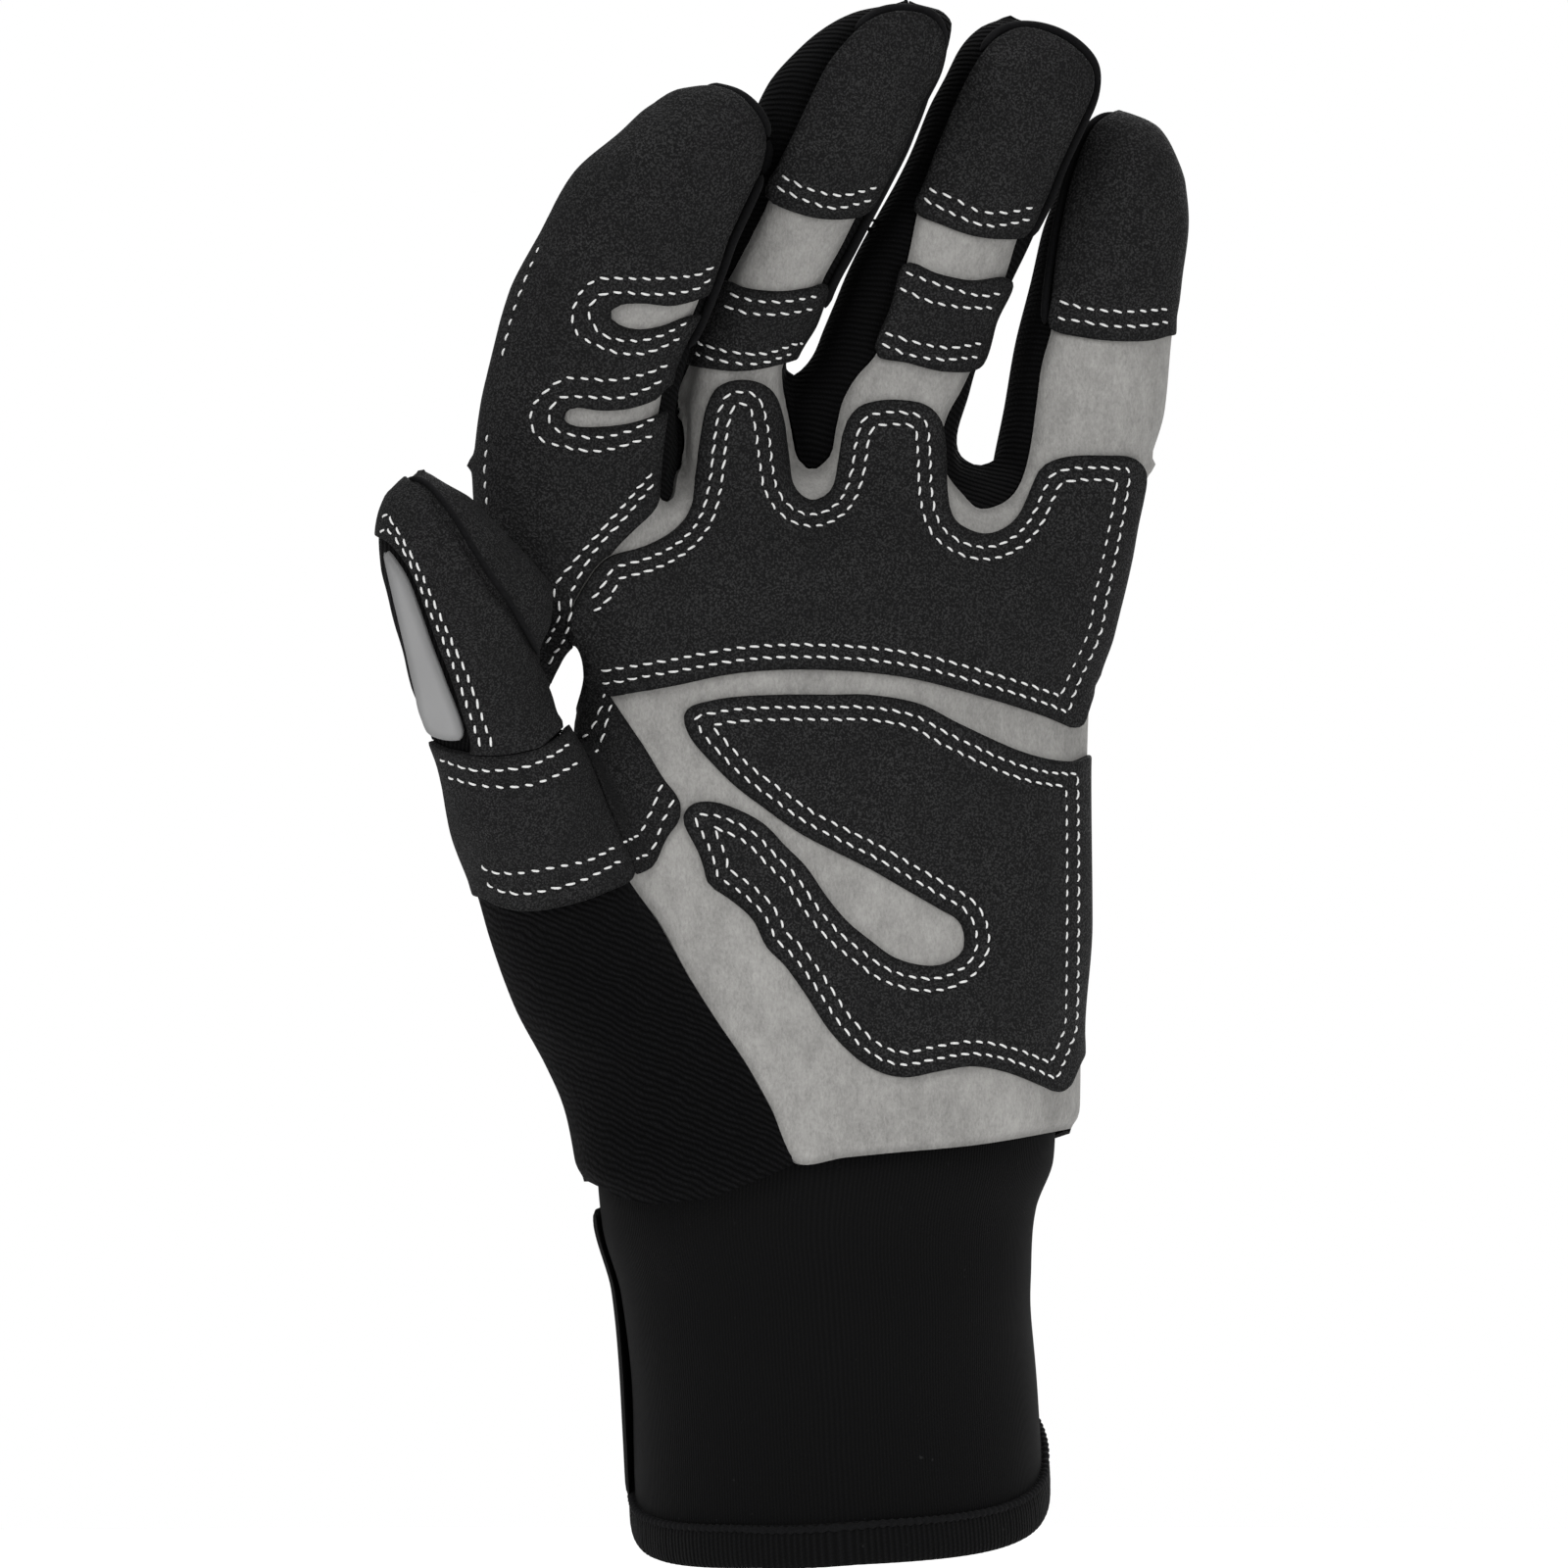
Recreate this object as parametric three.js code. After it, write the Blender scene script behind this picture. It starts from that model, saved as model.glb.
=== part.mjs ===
// Left-hand mechanic glove in its worn form, seen from the palm side. Millimetres, +Z up along the hand,
// palm towards -Y, thumb towards -X. The origin is the centre of the cuff's opening.
import * as THREE from 'three';

// Driving sizes
const GLOVE_LENGTH = 271; // hem to the middle fingertip, as seen from the palm side
const GLOVE_WIDTH = 139.6; // thumb to little finger
const GLOVE_DEPTH = 108; // thumb tip to the back of the cuff
const SHELL_WALL = 1.2; // suede and stretch panels
const PATCH_WALL = 0.8; // dark reinforcement
const LAYER_GAP = 0.3; // between a patch and the panel under it
const SEAM_GAP = 0.4; // between neighbouring panels
const CUFF_WALL = 1.5;
const HEM_WALL = 0.9;
const HEM_HEIGHT = 5.2;
const TAB_WALL = 1.5;
const TAB_STANDOFF = 0.5;
const TAB_TOP = 1224; // rows and angles of the tab on the cuff
const TAB_BOTTOM = 1476;
const TAB_START = 0.5 * Math.PI;
const TAB_END = 1.02 * Math.PI;
const TAB_STEPS = 7;
const PALM_LEAN = 0.34; // how much the palm's middle surface recedes towards the little finger
const THUMB_ROOT_ROW = 742; // the thumb's free tube ends here
const ROOT_BLEND = 4; // rounding where a finger leaves the palm
const SEAM_BEHIND = 4; // how far the side seams lie behind the middle of the hand
const SEAM_EASE = 1.6; // how softly the side seams pass from one digit to the next
const PARTING = 4.6; // space kept between neighbouring fingers
const CELL = 2.35; // cell of the net that the body's surface is first laid on
const FACET = 8; // facet size across the hand
const TIP_FACETS = 0.6; // facets at the very tips are this share of that size
const FACET_STRETCH = 1.6; // facets are this much longer along the hand
const EDGE_FACET = 6.5; // facet size along the borders of panels and patches
const CUFF_SIDES = 32;
const CUFF_ROUND = 0.84; // 1 is an ellipse, less is squarer

// The shape is drawn on a grid seen from the palm side: columns to the right, rows down, 1595 rows to the
// glove's length and 821 columns to its width. Depths are in millimetres of a glove 108 deep.
const COLUMNS_WIDE = 821;
const ROWS_LONG = 1595;
const MIDDLE_COLUMN = 858;
const HEM_ROW = 1515;
const DRAWN_DEPTH = 108;
const X = (column) => ((column - MIDDLE_COLUMN) * GLOVE_WIDTH) / COLUMNS_WIDE;
const Z = (row) => ((HEM_ROW - row) * GLOVE_LENGTH) / ROWS_LONG;
const Y = (depth) => (depth * GLOVE_DEPTH) / DRAWN_DEPTH;

// Sections of the hollow body. Each line: row, left edge, right edge, depth of the middle, half thickness.
const SECTIONS = {
  palm: { power: 2.5, lean: PALM_LEAN, rows: [
    [475, 640, 1120, -27, 1], [488, 600, 1150, -27, 6], [523, 565, 1162, -27, 12], [584, 572, 1152, -27, 15.5],
    [645, 589, 1140, -27, 16], [700, 602, 1116, -27, 16.5], [745, 590, 1111, -27, 17], [800, 590, 1110, -27, 17.5],
    [941, 600, 1111, -27, 18.5], [1049, 600, 1104, -27, 20.5], [1129, 598, 1103, -26, 23],
    [1186, 594, 1089, -25, 25], [1230, 604, 1084, -23, 26], [1320, 612, 1078, -20, 27],
  ] },
  index: { power: 2.2, lean: 0.1, rows: [
    [91, 722, 732, -57, 1], [100, 688, 757, -57, 5], [114, 665, 775, -56.5, 7.5], [141, 636, 785, -56, 10],
    [182, 589, 778, -55, 11.5], [243, 555, 756, -53.5, 12], [300, 525, 732, -52, 12.3], [356, 509, 707, -50, 12.5],
    [430, 493, 690, -47.5, 13], [490, 487, 688, -45, 13.5], [560, 494, 700, -43, 14], [620, 520, 715, -42, 14],
    [680, 570, 730, -41, 12], [720, 610, 740, -40, 6],
  ] },
  middle: { power: 2.2, lean: 0.1, rows: [
    [2, 920, 930, -44, 1], [12, 874, 962, -44, 6], [26, 845, 972, -43.5, 8.5], [47, 818, 970, -43, 10],
    [88, 782, 955, -41.5, 11.5], [147, 757, 932, -39.5, 12], [204, 740, 901, -38, 12], [260, 722, 867, -36.5, 12],
    [304, 708, 847, -35.5, 12], [376, 690, 806, -34, 12.5], [440, 685, 798, -33, 13], [500, 690, 815, -32.5, 13],
    [560, 700, 840, -32, 13], [620, 720, 850, -32, 10], [660, 740, 840, -32, 4],
  ] },
  ring: { power: 2.2, lean: 0.1, rows: [
    [18, 1020, 1040, -27, 1], [25, 1002, 1073, -27, 5], [41, 984, 1103, -27, 8], [64, 969, 1121, -27, 10],
    [103, 948, 1120, -26.5, 11.3], [164, 922, 1088, -26, 11.8], [216, 895, 1067, -25.5, 12],
    [260, 870, 1048, -25, 12], [304, 852, 1029, -24.5, 12], [350, 833, 1010, -24, 12.2], [400, 826, 993, -23.5, 12.5],
    [450, 832, 978, -23, 13], [500, 835, 985, -23, 13], [560, 845, 990, -23, 12.5], [620, 860, 980, -23, 9],
    [660, 880, 960, -23, 4],
  ] },
  little: { power: 2.2, lean: 0.1, rows: [
    [113, 1128, 1142, -12, 1], [122, 1108, 1168, -12, 5], [132, 1099, 1182, -12, 7.5], [158, 1090, 1197, -12, 9.5],
    [188, 1079, 1207, -11.5, 10.3], [223, 1066, 1210, -11.5, 10.7], [284, 1052, 1203, -11, 11],
    [352, 1035, 1196, -11, 11.2], [416, 1024, 1190, -10.5, 11.5], [470, 1013, 1178, -10.5, 12],
    [520, 1005, 1165, -10.5, 12], [570, 1000, 1153, -11, 12], [630, 1000, 1140, -12, 10], [690, 1010, 1120, -13, 4],
  ] },
  thumb: { power: 2.1, lean: 0.1, rows: [
    [485, 425, 440, -70, 1], [495, 413, 456, -70, 5], [510, 398, 482, -69.5, 8], [530, 391, 502, -69, 10],
    [550, 389, 521, -68.5, 11], [580, 391, 549, -67.5, 12], [605, 397, 565, -66.5, 12.5], [635, 404, 563, -65, 12.5],
    [665, 413, 552, -63, 12.5], [700, 421, 557, -61, 13], [739, 437, 576, -58.5, 13.5], [790, 453, 610, -55, 14.5],
    [850, 465, 640, -52, 16], [910, 487, 665, -49, 17], [959, 501, 690, -46, 17.5], [1028, 526, 730, -42, 18],
    [1085, 556, 760, -38.5, 18.5], [1130, 577, 790, -35.5, 19], [1174, 590, 810, -32, 20], [1230, 604, 830, -28, 21],
    [1320, 612, 850, -24, 22],
  ] },
};
const DIGITS = ['index', 'middle', 'ring', 'little', 'thumb'];
// Small bulge of the web under the index finger: column, row, depth, then half sizes in columns, rows, depth.
const WEB_BULGE = [552, 640, -42, 36, 62, 9];

// Cuff rings from the wrist down. Each line: row, left edge, right edge, depth of the middle, half thickness,
// slope of the ring towards the back.
const CUFF_RINGS = [
  [1150, 628, 1064, -25.8, 19.8, 0], [1186, 618, 1072, -25.4, 21.4, 0.02], [1236, 619, 1060, -21.5, 23, 0.12],
  [1290, 634, 1053, -16.5, 23.8, 0.26], [1350, 641, 1055, -11.5, 24, 0.4], [1420, 645, 1059, -6, 24.2, 0.5],
  [1479, 648, 1064, -2, 24.4, 0.56], [1511, 650, 1067, 0, 24.5, 0.575],
];
const HEM_SLOPE = 0.575; // slope of the last ring
const HEM_SIDE_SLOPE = 0.08; // the cuff's end rises towards the little finger

// Outlines of the panels and patches, as column, row pairs.
const OUTLINES = {
  handLeft: [[813, 1186], [788, 1131], [762, 1085], [735, 1045], [705, 995], [675, 939], [645, 896], [617, 821],
    [595, 768], [577, 741]],
  handRight: [[1200, 1140], [1089, 1156], [1000, 1169], [917, 1176], [864, 1181]],
  heelPatch: [[698, 731], [707, 720], [743, 712], [796, 709], [850, 709], [886, 709], [937, 718], [975, 738],
    [1029, 763], [1064, 774], [1093, 777], [1130, 768], [1130, 1060], [1098, 1084], [1089, 1109], [1079, 1115],
    [1064, 1109], [1029, 1095], [993, 1088], [957, 1093], [921, 1099], [886, 1088], [850, 1056], [821, 1013],
    [800, 984], [782, 966], [768, 938], [743, 916], [723, 902], [718, 884], [711, 866], [702, 849], [697, 836],
    [704, 822], [725, 818], [750, 825], [779, 841], [800, 863], [821, 884], [843, 916], [864, 941], [886, 959],
    [911, 977], [939, 985], [961, 984], [979, 974], [984, 963], [979, 941], [957, 927], [921, 906], [886, 886],
    [850, 868], [814, 849], [779, 824], [750, 802], [725, 777], [704, 752]],
  knucklePatch: [[593, 609], [619, 571], [658, 558], [686, 543], [703, 523], [711, 490], [717, 441], [723, 413],
    [735, 394], [756, 388], [776, 392], [789, 406], [797, 437], [801, 470], [807, 498], [825, 513], [846, 504],
    [856, 478], [862, 441], [874, 417], [895, 409], [919, 408], [944, 413], [958, 429], [962, 462], [964, 502],
    [972, 531], [997, 545], [1017, 543], [1038, 527], [1054, 494], [1066, 474], [1091, 464], [1131, 463],
    [1180, 468], [1180, 600], [1150, 690], [1113, 706], [1103, 739], [1095, 742], [1066, 731], [1009, 713],
    [927, 692], [846, 684], [764, 686], [682, 700], [627, 709], [601, 645], [591, 629]],
  indexPatch: [[470, 80], [640, 80], [690, 96], [727, 94], [753, 104], [771, 124], [778, 143], [774, 170],
    [765, 191], [741, 243], [732, 270], [712, 323], [697, 352], [686, 381], [676, 440], [671, 492], [668, 518],
    [644, 544], [627, 562], [606, 592], [590, 620], [588, 655], [568, 693], [557, 705], [540, 710], [470, 640]],
  slotOne: [[622, 323], [632, 313], [656, 311], [685, 313], [715, 304], [740, 292], [740, 312], [697, 326],
    [674, 335], [650, 338], [632, 333]],
  slotTwo: [[575, 427], [586, 417], [612, 420], [641, 418], [668, 408], [679, 395], [700, 388], [700, 407],
    [671, 424], [644, 433], [612, 437], [586, 436]],
  middleTip: [[783, 202], [795, 170], [809, 141], [844, 70], [874, 35], [897, 20], [927, 16], [950, 23], [960, 41],
    [956, 70], [938, 103], [921, 147], [903, 182], [881, 217], [844, 224], [809, 217]],
  middleBand: [[738, 288], [762, 295], [797, 298], [826, 294], [843, 290], [830, 330], [816, 360], [797, 370],
    [762, 378], [729, 377], [700, 369], [714, 330]],
  ringTip: [[934, 216], [944, 188], [962, 141], [985, 88], [1006, 53], [1023, 38], [1044, 31], [1073, 38],
    [1097, 53], [1111, 70], [1111, 94], [1097, 126], [1079, 164], [1062, 205], [1044, 239], [1020, 243], [991, 240],
    [962, 230]],
  ringBand: [[924, 268], [956, 279], [991, 286], [1030, 284], [1014, 325], [997, 373], [962, 378], [927, 370],
    [893, 361], [910, 310]],
  littleTip: [[1073, 334], [1075, 305], [1082, 249], [1091, 205], [1103, 164], [1117, 132], [1133, 118],
    [1165, 100], [1240, 120], [1240, 338], [1195, 340], [1173, 346], [1138, 347], [1103, 343]],
  saddleTop: [[420, 745], [442, 753], [463, 762], [507, 768], [548, 762], [571, 749]],
  saddleTopInner: [[577, 741], [589, 728], [598, 712], [606, 690], [631, 720], [655, 756], [677, 793], [694, 816]],
  saddleBottom: [[646, 896], [616, 912], [579, 924], [540, 929], [513, 924], [498, 916], [470, 905]],
  saddleBottomInner: [[695, 836], [682, 855], [669, 883], [652, 893]],
  thumbSeam: [[414, 478], [421, 495], [437, 505], [449, 527], [465, 548], [482, 576], [498, 601], [517, 624],
    [534, 653], [550, 683], [557, 701], [575, 739]],
  thumbInsert: [[397, 560], [408, 573], [420, 592], [433, 626], [445, 661], [457, 693], [476, 752], [441, 747],
    [427, 700], [420, 668], [408, 617], [399, 577]],
  thumbPatchLeft: [[483, 754], [463, 691], [451, 659], [439, 624], [426, 589], [412, 566], [399, 552], [388, 548],
    [380, 520], [392, 490]],
};

const GRAY = 0x9a9894;
const COOL_GRAY = 0x8f8f8f;
const LEATHER = 0x262626;
const BLACK = 0x101011;
const KNIT = 0x131314;

// Smooth curve through table rows, without overshoot: slopes are limited where neighbours change sign.
function curve(keys, values) {
  const n = keys.length;
  const step = (i) => (values[i + 1] - values[i]) / (keys[i + 1] - keys[i]);
  const slope = values.map((_, i) => {
    if (i === 0) return step(0);
    if (i === n - 1) return step(n - 2);
    const before = step(i - 1);
    const after = step(i);
    return before * after <= 0 ? 0 : (2 * before * after) / (before + after);
  });
  return (t) => {
    if (t <= keys[0]) return values[0];
    if (t >= keys[n - 1]) return values[n - 1];
    let i = 0;
    while (keys[i + 1] < t) i += 1;
    const h = keys[i + 1] - keys[i];
    const s = (t - keys[i]) / h;
    const a = 2 * s ** 3 - 3 * s ** 2 + 1;
    const b = s ** 3 - 2 * s ** 2 + s;
    return a * values[i] + b * h * slope[i] + (1 - a) * values[i + 1] + (s ** 3 - s ** 2) * h * slope[i + 1];
  };
}

// One tapering limb: inside is positive, in millimetres near the surface.
function limb({ power, lean, rows }) {
  const keys = rows.map((row) => row[0]);
  const column = (i) => curve(keys, rows.map((row) => row[i]));
  const [left, right, middle, half] = [column(1), column(2), column(3), column(4)];
  const top = keys[0];
  const bottom = keys[keys.length - 1];
  const parts = (z) => {
    const row = HEM_ROW - (z * ROWS_LONG) / GLOVE_LENGTH;
    const over = Math.max(top - row, row - bottom, 0);
    return {
      centre: X((left(row) + right(row)) / 2),
      wide: ((right(row) - left(row)) / 2) * (GLOVE_WIDTH / COLUMNS_WIDE),
      deep: Y(half(row)),
      middle: Y(middle(row)),
      past: (over * GLOVE_LENGTH) / ROWS_LONG,
    };
  };
  const mid = (x, z) => {
    const p = parts(z);
    return p.middle + lean * (x - p.centre);
  };
  const value = (x, y, z) => {
    const p = parts(z);
    const u = Math.abs(x - p.centre) / p.wide;
    const v = Math.abs(y - p.middle - lean * (x - p.centre)) / p.deep;
    const r = (u ** power + v ** power) ** (1 / power);
    return (1 - r) * Math.min(p.wide, p.deep) - p.past;
  };
  return { value, mid, thickness: (z) => parts(z).deep };
}

const limbs = Object.fromEntries(Object.entries(SECTIONS).map(([name, table]) => [name, limb(table)]));

function blend(a, b, size) {
  const h = Math.max(size - Math.abs(a - b), 0) / size;
  return Math.max(a, b) + (h * h * size) / 4;
}

function webBulge(x, y, z) {
  const [column, row, depth, wide, tall, thick] = WEB_BULGE;
  const u = (x - X(column)) / ((wide * GLOVE_WIDTH) / COLUMNS_WIDE);
  const v = (z - Z(row)) / ((tall * GLOVE_LENGTH) / ROWS_LONG);
  const w = (y - Y(depth)) / Y(thick);
  return (1 - Math.hypot(u, v, w)) * Math.abs(Y(thick));
}

// One digit's own value, the index with the web's bulge under it.
function digit(name, x, y, z) {
  const value = limbs[name].value(x, y, z);
  return name === 'index' ? blend(value, webBulge(x, y, z), ROOT_BLEND) : value;
}

// The whole hand: digits keep a parting between them, and every digit is rounded into the palm.
function hand(x, y, z) {
  const [first, second] = DIGITS.map((name) => digit(name, x, y, z)).sort((a, b) => b - a);
  return blend(Math.min(first, (first - second - PARTING) / 2), limbs.palm.value(x, y, z), ROOT_BLEND);
}

// 1 on a full digit or the palm, less towards a tip, where facets are smaller.
function slimness(x, y, z) {
  let best = 'palm';
  for (const name of DIGITS) if (limbs[name].value(x, y, z) > limbs[best].value(x, y, z)) best = name;
  return Math.max(TIP_FACETS, Math.min(1, limbs[best].thickness(z) / Y(11.5)));
}

function upperThumb(x, y, z) {
  const rest = DIGITS.slice(0, 4).map((name) => digit(name, x, y, z));
  return limbs.thumb.value(x, y, z) - Math.max(limbs.palm.value(x, y, z), ...rest);
}

// Positive on the palm side of the seam line that runs round the hand, a little behind its sides.
function palmSide(x, y, z) {
  let sum = 0;
  let weight = 0;
  for (const name of ['palm', ...DIGITS]) {
    const w = Math.exp(Math.max(-60, Math.min(6, limbs[name].value(x, y, z))) / SEAM_EASE);
    sum += w * limbs[name].mid(x, z);
    weight += w;
  }
  return sum / weight + SEAM_BEHIND - y;
}

function slopeOf(field, p) {
  const e = 0.4;
  return [
    (field(p[0] + e, p[1], p[2]) - field(p[0] - e, p[1], p[2])) / (2 * e),
    (field(p[0], p[1] + e, p[2]) - field(p[0], p[1] - e, p[2])) / (2 * e),
    (field(p[0], p[1], p[2] + e) - field(p[0], p[1], p[2] - e)) / (2 * e),
  ];
}

// Even net of quads laid over the zero surface of a field: one point in each cell that the surface crosses.
function surfaceNet(field, low, high, cell) {
  const count = low.map((v, i) => Math.ceil((high[i] - v) / cell[i]) + 1);
  const [nx, ny, nz] = count;
  const at = (i, j, k) => i + nx * (j + ny * k);
  const sample = new Float64Array(nx * ny * nz);
  const where = (i, j, k) => [low[0] + i * cell[0], low[1] + j * cell[1], low[2] + k * cell[2]];
  for (let k = 0; k < nz; k += 1)
    for (let j = 0; j < ny; j += 1)
      for (let i = 0; i < nx; i += 1) sample[at(i, j, k)] = field(...where(i, j, k));
  // Corners that touch only across a square or a cell would pinch the surface: the weaker one is taken outside.
  const offsets = [[0, 1, 2], [1, 2, 0], [2, 0, 1]].map(([u, v]) => {
    const step = [1, nx, nx * ny];
    return [step[u], step[v], u, v];
  });
  for (let changed = 1, pass = 0; changed && pass < 12; pass += 1) {
    changed = 0;
    for (let k = 0; k < nz - 1; k += 1)
      for (let j = 0; j < ny - 1; j += 1)
        for (let i = 0; i < nx - 1; i += 1) {
          const a = at(i, j, k);
          for (const [u, v] of offsets) {
            for (const [p, q, r, s] of [[a, a + u + v, a + u, a + v], [a + u, a + v, a, a + u + v]])
              if (sample[p] > 0 && sample[q] > 0 && sample[r] <= 0 && sample[s] <= 0) {
                sample[sample[p] < sample[q] ? p : q] = -0.05;
                changed += 1;
              }
          }
          const far = a + 1 + nx + nx * ny;
          for (const [p, q] of [[a, far], [a + 1, far - 1], [a + nx, far - nx], [a + nx * ny, far - nx * ny]]) {
            const corners = [a, a + 1, a + nx, a + 1 + nx, far, far - 1, far - nx, far - 1 - nx];
            const filled = corners.filter((c) => sample[c] > 0);
            if (filled.length === 2 && sample[p] > 0 && sample[q] > 0) {
              sample[sample[p] < sample[q] ? p : q] = -0.05;
              changed += 1;
            }
            if (filled.length === 6 && sample[p] <= 0 && sample[q] <= 0) {
              sample[filled.reduce((m, c) => (sample[c] < sample[m] ? c : m))] = -0.05;
              changed += 1;
            }
          }
        }
  }
  const points = [];
  const index = new Map();
  for (let k = 0; k < nz - 1; k += 1)
    for (let j = 0; j < ny - 1; j += 1)
      for (let i = 0; i < nx - 1; i += 1) {
        const sum = [0, 0, 0];
        let hits = 0;
        for (let axis = 0; axis < 3; axis += 1)
          for (let m = 0; m < 4; m += 1) {
            const a = [i, j, k];
            a[(axis + 1) % 3] += m & 1;
            a[(axis + 2) % 3] += m >> 1;
            const b = [...a];
            b[axis] += 1;
            const fa = sample[at(...a)];
            const fb = sample[at(...b)];
            if (fa > 0 === fb > 0) continue;
            const t = fa / (fa - fb);
            const p = where(...a);
            p[axis] += t * cell[axis];
            for (let q = 0; q < 3; q += 1) sum[q] += p[q];
            hits += 1;
          }
        if (!hits) continue;
        let p = sum.map((v) => v / hits);
        for (let turn = 0; turn < 3; turn += 1) {
          const g = slopeOf(field, p);
          const size = g[0] ** 2 + g[1] ** 2 + g[2] ** 2 + 1e-9;
          const move = Math.max(-2, Math.min(2, field(...p) / Math.sqrt(size))) / Math.sqrt(size);
          p = p.map((v, q) => v - move * g[q]);
        }
        index.set(at(i, j, k), points.length);
        points.push(p);
      }
  const faces = [];
  for (let k = 1; k < nz - 1; k += 1)
    for (let j = 1; j < ny - 1; j += 1)
      for (let i = 1; i < nx - 1; i += 1)
        for (let axis = 0; axis < 3; axis += 1) {
          const b = [i, j, k];
          b[axis] += 1;
          const inside = sample[at(i, j, k)] > 0;
          if (inside === sample[at(...b)] > 0) continue;
          const quad = [[0, 0], [1, 0], [1, 1], [0, 1]].map(([m, n]) => {
            const c = [i, j, k];
            c[(axis + 1) % 3] -= m;
            c[(axis + 2) % 3] -= n;
            return index.get(at(...c));
          });
          if (!inside) quad.reverse();
          const d = (m, n) => Math.hypot(...points[quad[m]].map((v, q) => v - points[quad[n]][q]));
          if (d(0, 2) <= d(1, 3)) faces.push([quad[0], quad[1], quad[2]], [quad[0], quad[2], quad[3]]);
          else faces.push([quad[0], quad[1], quad[3]], [quad[1], quad[2], quad[3]]);
        }
  return { points, faces };
}

// Gives each fan of facets round a shared point a point of its own, drawn a little towards its fan.
function unpinched({ points, faces }) {
  const fans = points.map(() => []);
  faces.forEach((face, k) => face.forEach((v) => fans[v].push(k)));
  const result = { points: points.map((p) => [...p]), faces: faces.map((face) => [...face]) };
  fans.forEach((list, v) => {
    const left = new Set(list);
    let copies = 0;
    while (left.size) {
      const fan = [left.values().next().value];
      left.delete(fan[0]);
      for (let m = 0; m < fan.length; m += 1)
        for (const k of [...left])
          if (faces[k].some((w) => w !== v && faces[fan[m]].includes(w))) {
            left.delete(k);
            fan.push(k);
          }
      if (!left.size && !copies) return;
      const rim = [...new Set(fan.flatMap((k) => faces[k]))].filter((w) => w !== v);
      const middle = [0, 1, 2].map((q) => rim.reduce((sum, w) => sum + points[w][q], 0) / rim.length);
      const own = copies ? result.points.push([]) - 1 : v;
      result.points[own] = points[v].map((value, q) => 0.4 * value + 0.6 * middle[q]);
      for (const k of fan) result.faces[k] = result.faces[k].map((w) => (w === v ? own : w));
      copies += 1;
    }
  });
  return result;
}

// Joins neighbouring points of a closed surface until its facets have about the wanted size. A join that would
// pinch the surface or turn a facet over is left out.
function coarsened({ points, faces }, field, size) {
  const at = points.map((p) => [...p]);
  const list = faces.map((f) => [...f]);
  const around = at.map(() => new Set());
  list.forEach((f, k) => f.forEach((i) => around[i].add(k)));
  const gone = new Set();
  const span = (p, q) => Math.hypot(p[0] - q[0], p[1] - q[1], (p[2] - q[2]) / FACET_STRETCH) / slimness(...p);
  const linked = (i) => {
    const set = new Set();
    for (const k of around[i]) for (const v of list[k]) if (v !== i) set.add(v);
    return set;
  };
  const normal = (p, q, r) => {
    const [u, v] = [[0, 1, 2].map((a) => q[a] - p[a]), [0, 1, 2].map((a) => r[a] - p[a])];
    const n = [u[1] * v[2] - u[2] * v[1], u[2] * v[0] - u[0] * v[2], u[0] * v[1] - u[1] * v[0]];
    const length = Math.hypot(...n) || 1;
    return n.map((a) => a / length);
  };
  const settle = (start) => {
    let p = start;
    for (let turn = 0; turn < 2; turn += 1) {
      const g = slopeOf(field, p);
      const length = Math.hypot(...g) + 1e-6;
      const move = Math.max(-1.5, Math.min(1.5, field(...p) / length)) / length;
      p = p.map((v, q) => v - move * g[q]);
    }
    return p;
  };
  for (const share of [0.45, 0.6, 0.75, 0.85, 0.93, ...Array(16).fill(1)]) {
    const edges = [];
    list.forEach((f, k) => {
      if (gone.has(k)) return;
      for (let m = 0; m < 3; m += 1) {
        const [i, j] = [f[m], f[(m + 1) % 3]];
        if (i < j && span(at[i], at[j]) < share * size) edges.push([span(at[i], at[j]), i, j]);
      }
    });
    edges.sort((a, b) => a[0] - b[0]);
    const touched = new Set();
    for (const [, i, j] of edges) {
      if (touched.has(i) || touched.has(j)) continue;
      const [a, b] = [linked(i), linked(j)];
      const shared = [...a].filter((v) => b.has(v));
      if (shared.length !== 2 || a.size + b.size > 18) continue;
      const p = settle(at[i].map((v, q) => (v + at[j][q]) / 2));
      const others = [...new Set([...around[i], ...around[j]])].filter((k) => !(around[i].has(k) && around[j].has(k)));
      const bad = others.some((k) => {
        const before = list[k].map((v) => at[v]);
        const after = list[k].map((v) => (v === i || v === j ? p : at[v]));
        const [m, n] = [normal(...before), normal(...after)];
        return m[0] * n[0] + m[1] * n[1] + m[2] * n[2] < 0.55;
      }) || [...a, ...b].some((v) => v !== i && v !== j && span(at[v], p) > 1.75 * size);
      if (bad) continue;
      for (const k of [...around[i]].filter((v) => around[j].has(v))) {
        gone.add(k);
        for (const v of list[k]) around[v].delete(k);
      }
      for (const k of around[j]) {
        list[k] = list[k].map((v) => (v === j ? i : v));
        around[i].add(k);
      }
      around[j].clear();
      at[i] = p;
      for (const v of [i, ...a, ...b]) touched.add(v);
    }
  }
  const order = new Map();
  const kept = list.filter((_, k) => !gone.has(k));
  for (const v of kept.flat()) if (!order.has(v)) order.set(v, order.size);
  return { points: [...order.keys()].map((v) => at[v]), faces: kept.map((f) => f.map((v) => order.get(v))) };
}

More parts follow.
